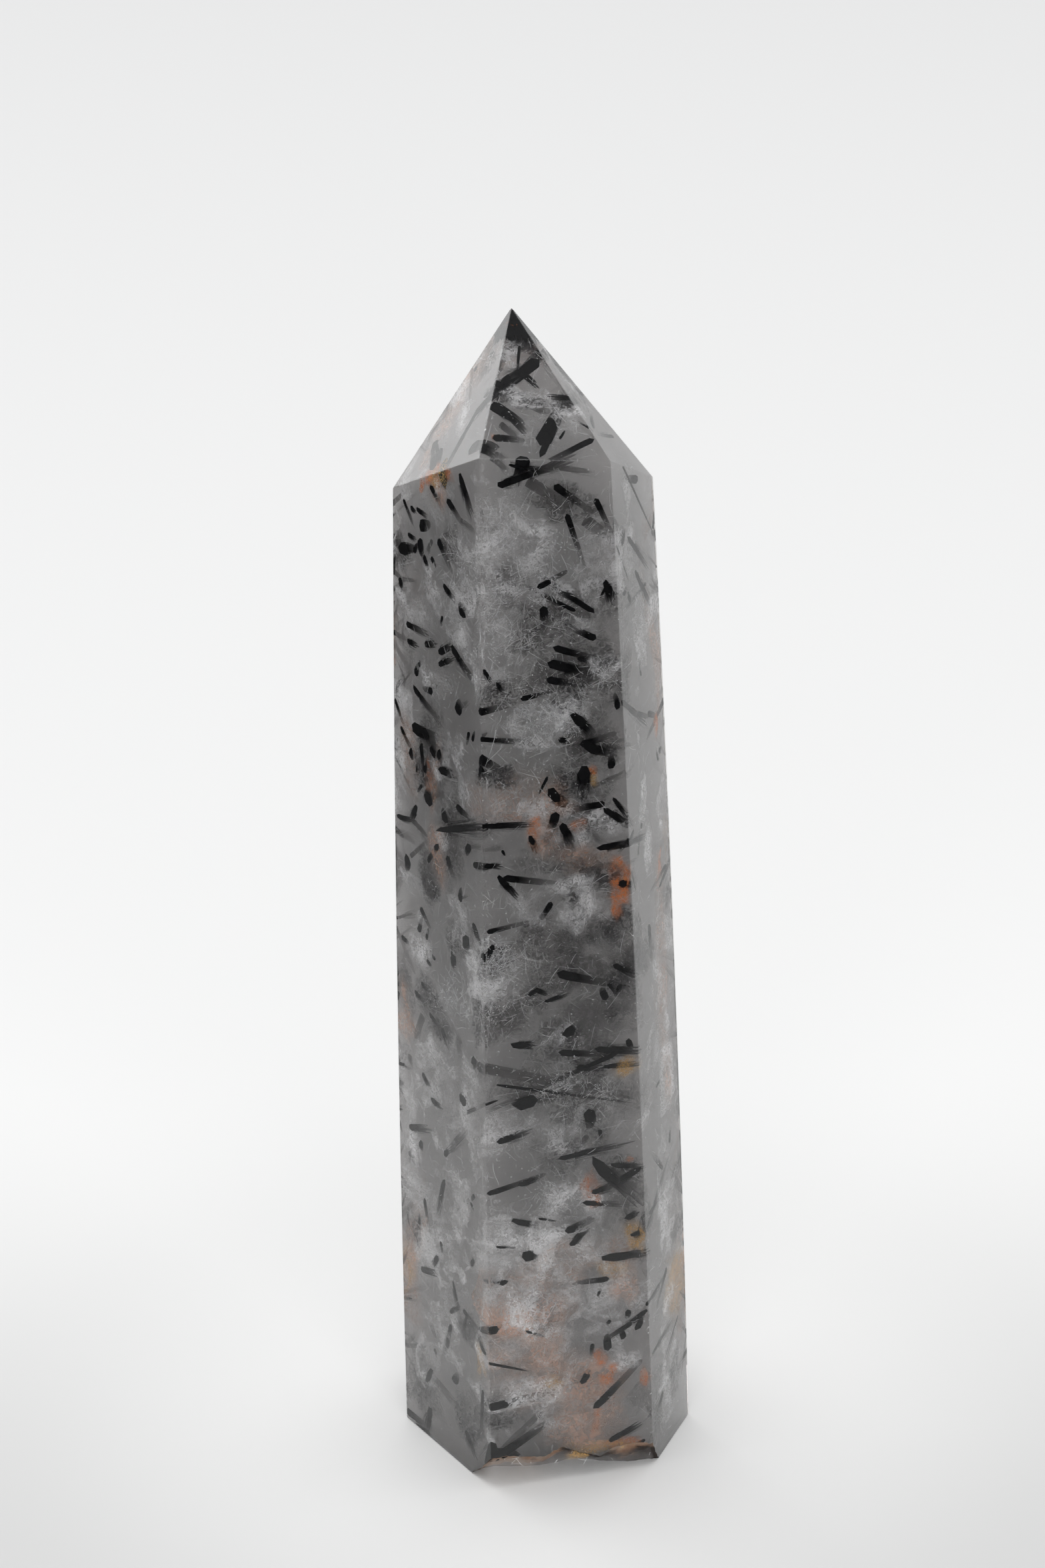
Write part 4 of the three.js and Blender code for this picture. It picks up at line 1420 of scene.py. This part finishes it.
def veilMaterial(kind, cloud):
    plain = {"Roughness": 0.8, "Specular IOR Level": 0.0}
    material, tree, shader = newMaterial(kind + "Veil", plain)
    place = node(tree, "TexCoord")
    low, high = cloud["band"]
    wisp = node(tree, "Group", {
        "Position": place["Object"], "Sheet": place["UV"], "Scale": cloud["scale"], "Low": low,
        "High": high, "Cover": cloud["cover"], "Hair": cloud["hair"], "Fill": cloud["fill"],
    }, node_tree=wisps)
    tree.links.new(mixed(tree, wisp["Grain"], *cloud["colours"]), shader["Base Color"])
    tree.links.new(wisp["Mask"], shader["Alpha"])
    return material


# The sheets of one cloud, each a little aside of its middle and deeper than the one before it
def addCloud(bm, uvLayer, spot, normal, depth, half, sheets, chooser):
    level, rise = waysAlong(normal)
    shuffle = veilShape["shuffle"]
    first, more = veilShape["deeper"]
    for sheet in range(sheets):
        aside = level * chooser.uniform(-shuffle, shuffle) * half[0]
        aside += rise * chooser.uniform(-shuffle, shuffle) * half[1]
        lower = normal * (depth * (first + more * sheet) - depth)
        size = [reach * chooser.uniform(*veilShape["sizes"]) for reach in half]
        addVeil(bm, uvLayer, spot + aside - lower, normal, size, chooser)


# The clouds of one kind on one face, as the photograph shows them
def addSeenClouds(bm, uvLayer, face, cloud, chooser):
    grow = cloud["grow"] / 2 / pixelsPerMm
    for name, onPoint in ((face, False), (face + "Point", True)):
        for x, y, depth, width, height in cloud.get(name, ()):
            spot = spotInside(face, x, y, depth, onPoint)
            normal = facePlane(face, spot.z, onPoint)[1]
            half = (width * grow, height * grow)
            addCloud(bm, uvLayer, spot, normal, depth, half, cloud["sheets"], chooser)


# More of them by chance: a few small ones on the faces that are seen, and bigger ones on the others
def addHiddenClouds(bm, uvLayer, face, cloud, chooser):
    count, size = cloud["hidden"], veilShape["hiddenSize"]
    if face in cloud:
        count, size = cloud["small"], veilShape["smallSize"]
    margin = veilShape["margin"]
    for k in range(count):
        onPoint = chooser.random() < veilShape["pointShare"]
        height = chooser.uniform(*veilShape["pointHeights" if onPoint else "heights"])
        across = chooser.uniform(margin, 1 - margin)
        spot, normal = spotAcross(face, across, height, onPoint)[:2]
        depth = chooser.uniform(*veilShape["depths"])
        half = [chooser.uniform(*size) / 2 for axis in range(2)]
        addCloud(bm, uvLayer, spot - normal * depth, normal, depth, half, cloud["sheets"], chooser)


def addClouds():
    for kind, cloud in clouds.items():
        bm = bmesh.new()
        uvLayer = bm.loops.layers.uv.new("sheet")
        chooser = random.Random(kind)
        for face in faceEdges:
            addSeenClouds(bm, uvLayer, face, cloud, chooser)
            addHiddenClouds(bm, uvLayer, face, cloud, chooser)
        onlyStraightSeen(newPiece(kind + "Veils", bm, veilMaterial(kind, cloud)))


addClouds()
print("clouds added")

# Fine white flecks and hairs: how many on each face, and denser patches by middle pixel, spread
# in pixels and number
flecks = {
    "each": 700,
    "share": 1.5,  # flecks for each one that a patch counts
    "sizes": (0.03, 0.10),
    "flat": ((0.3, 0.9), (0.15, 0.5)),  # how much shorter its two other ways are
    "depths": (0.04, 1.0),
    "front": (
        (750, 985, 55, 420), (740, 800, 45, 200), (806, 1085, 26, 260), (850, 1085, 14, 120),
        (870, 1050, 16, 60), (907, 1005, 10, 70), (825, 1065, 12, 60), (760, 1190, 60, 160),
        (745, 1470, 38, 320), (735, 1430, 18, 160), (820, 1350, 60, 160), (845, 1628, 16, 80),
        (908, 1635, 10, 50), (830, 1793, 16, 120), (750, 1835, 18, 80), (850, 1180, 60, 120),
        (780, 880, 60, 220), (880, 830, 60, 160), (760, 1700, 60, 120), (830, 1960, 80, 160),
        (770, 2010, 60, 80), (850, 1500, 60, 100), (850, 640, 40, 90), (855, 1660, 50, 90),
    ),
    "left": (
        (695, 830, 34, 320), (700, 930, 34, 260), (670, 1000, 40, 120), (705, 1480, 30, 320),
        (670, 1498, 12, 120), (709, 1518, 9, 60), (680, 1380, 40, 120), (690, 1600, 40, 120),
        (690, 1760, 40, 100), (700, 1180, 34, 120), (660, 1880, 40, 80), (730, 1418, 10, 90),
    ),
}
hairs = {
    "each": 620,
    "share": 0.9,  # hairs for each one that a patch counts
    "lengths": (0.15, 1.9),
    "shorter": (0.4, 1),  # a share that makes short ones more common
    "thick": (0.006, 0.022),
    "thickest": (0.4, 1.1),  # where along it, and its share there
    "dips": (-0.1, 0.2),  # how steeply they lead into the stone
    "depths": (0.03, 0.7),
    "endDepth": 0.024,  # how deep in mm the far end lies at least
    "bend": 0.3,
    "steps": 3,
}
# How they spread over a face: heights in mm, and the share that lies on the point
strewn = {
    "heights": (1, 84),
    "pointHeights": (86.6, 93),
    "pointShare": 0.12,
    "kept": 0.9,  # the share of their least depth that they keep under every face
}
octahedron = ((0, 2, 4), (2, 1, 4), (1, 3, 4), (3, 0, 4), (2, 0, 5), (1, 2, 5), (3, 1, 5), (0, 3, 5))


def addFleck(bm, spot, normal, chooser):
    size = chooser.uniform(*flecks["sizes"])
    axes = [Vector([chooser.gauss(0, 1) for k in range(3)]).normalized() for n in range(3)]
    reach = [size] + [size * chooser.uniform(*flat) for flat in flecks["flat"]]
    ends = [spot + axis * r * turn for axis, r in zip(axes, reach) for turn in (1, -1)]
    verts = [bm.verts.new(end * mm) for end in ends]
    for a, b, c in octahedron:
        bm.faces.new((verts[a], verts[b], verts[c]))


# A thin bent thread, three-sided
def addHair(bm, spot, normal, chooser):
    level, rise = waysAlong(normal)
    way = turned(level, rise, chooser.uniform(0, math.tau))
    way -= normal * chooser.uniform(*hairs["dips"])
    length = chooser.uniform(*hairs["lengths"]) * chooser.uniform(*hairs["shorter"])
    bend = (level * chooser.gauss(0, 1) + rise * chooser.gauss(0, 1)) * hairs["bend"] * length
    if depthUnder(spot + way * length + bend) < hairs["endDepth"]:
        return
    thick = chooser.uniform(*hairs["thick"])
    side = way.cross(normal).normalized()
    other = way.cross(side).normalized()
    where, most = hairs["thickest"]
    rings = []
    for step in range(hairs["steps"] + 1):
        share = step / hairs["steps"]
        middle = spot + way * length * share + bend * (share * share)
        size = thick * (most - abs(share - where))
        ring = [middle + turned(side, other, k * math.tau / 3) * size for k in range(3)]
        rings.append([bm.verts.new(place * mm) for place in ring])
    for low, high in zip(rings, rings[1:]):
        for k in range(3):
            n = (k + 1) % 3
            bm.faces.new((low[k], low[n], high[n], high[k]))
    bm.faces.new(rings[-1])
    bm.faces.new(list(reversed(rings[0])))


# Spreads small things over each face: in the patches of the seen faces, and evenly
def strew(name, addOne, each, share, depths):
    bm = bmesh.new()
    chooser = random.Random(name)
    least = depths[0] * strewn["kept"]
    for face in faceEdges:
        for x, y, spread, count in flecks.get(face, ()):
            for k in range(round(count * share)):
                depth = chooser.uniform(*depths)
                spot = spotInside(face, chooser.gauss(x, spread), chooser.gauss(y, spread), depth)
                if depthUnder(spot) > least:
                    addOne(bm, spot, facePlane(face, spot.z)[1], chooser)
        for k in range(each):
            height = chooser.uniform(*strewn["heights"])
            onPoint = chooser.random() < strewn["pointShare"]
            if onPoint:
                height = chooser.uniform(*strewn["pointHeights"])
            spot, normal = spotAcross(face, chooser.random(), height, onPoint)[:2]
            spot -= normal * chooser.uniform(*depths)
            if depthUnder(spot) > least:
                addOne(bm, spot, normal, chooser)
    bmesh.ops.recalc_face_normals(bm, faces=bm.faces)
    newPiece(name, bm, whiteMineral)


whiteGrain = {"scale": 900, "one": (1.0, 1.0, 1.0, 1), "other": (0.85, 0.85, 0.87, 1)}


def whiteMaterial():
    material, tree, shader = newMaterial("whiteMineral", {"Roughness": 0.6})
    place = node(tree, "TexCoord")["Object"]
    grain = addGrain(tree, place, whiteGrain["scale"], whiteGrain["one"], whiteGrain["other"])
    tree.links.new(grain, shader["Base Color"])
    return material


whiteMineral = whiteMaterial()
strew("whiteFlecks", addFleck, flecks["each"], flecks["share"], flecks["depths"])
strew("whiteHairs", addHair, hairs["each"], hairs["share"], hairs["depths"])
print("flecks and hairs added")

# The golden-veined crystal under the left shoulder, cut across: its pixel and size, and its veins
golden = {
    "seen": (663, 716, 17, 26),
    "veins": 3600,
    "veinWidth": (0.02, 0.08),
    "dark": (0.010, 0.009, 0.008, 1),
    "gold": (0.75, 0.50, 0.18, 1),
}


def goldMaterial():
    material, tree, shader = newMaterial("goldVeined", {"Roughness": 0.4})
    given = {"Vector": node(tree, "TexCoord")["Object"], "Scale": golden["veins"]}
    veins = node(tree, "TexVoronoi", given, feature="DISTANCE_TO_EDGE")["Distance"]
    thin = ramp(tree, veins, *golden["veinWidth"], 1, 0)
    tree.links.new(mixed(tree, thin, golden["dark"], golden["gold"]), shader["Base Color"])
    return material


def addGoldenCrystal():
    bm = bmesh.new()
    endOn(bm, "left", golden["seen"], False, random.Random("golden"))
    newPiece("goldenCrystal", bm, goldMaterial())


addGoldenCrystal()
print("golden crystal added")

# How far light is followed through the stone
scene.cycles.volume_bounces = 3
scene.cycles.max_bounces = 8
scene.cycles.transmission_bounces = 8
scene.cycles.transparent_max_bounces = 48
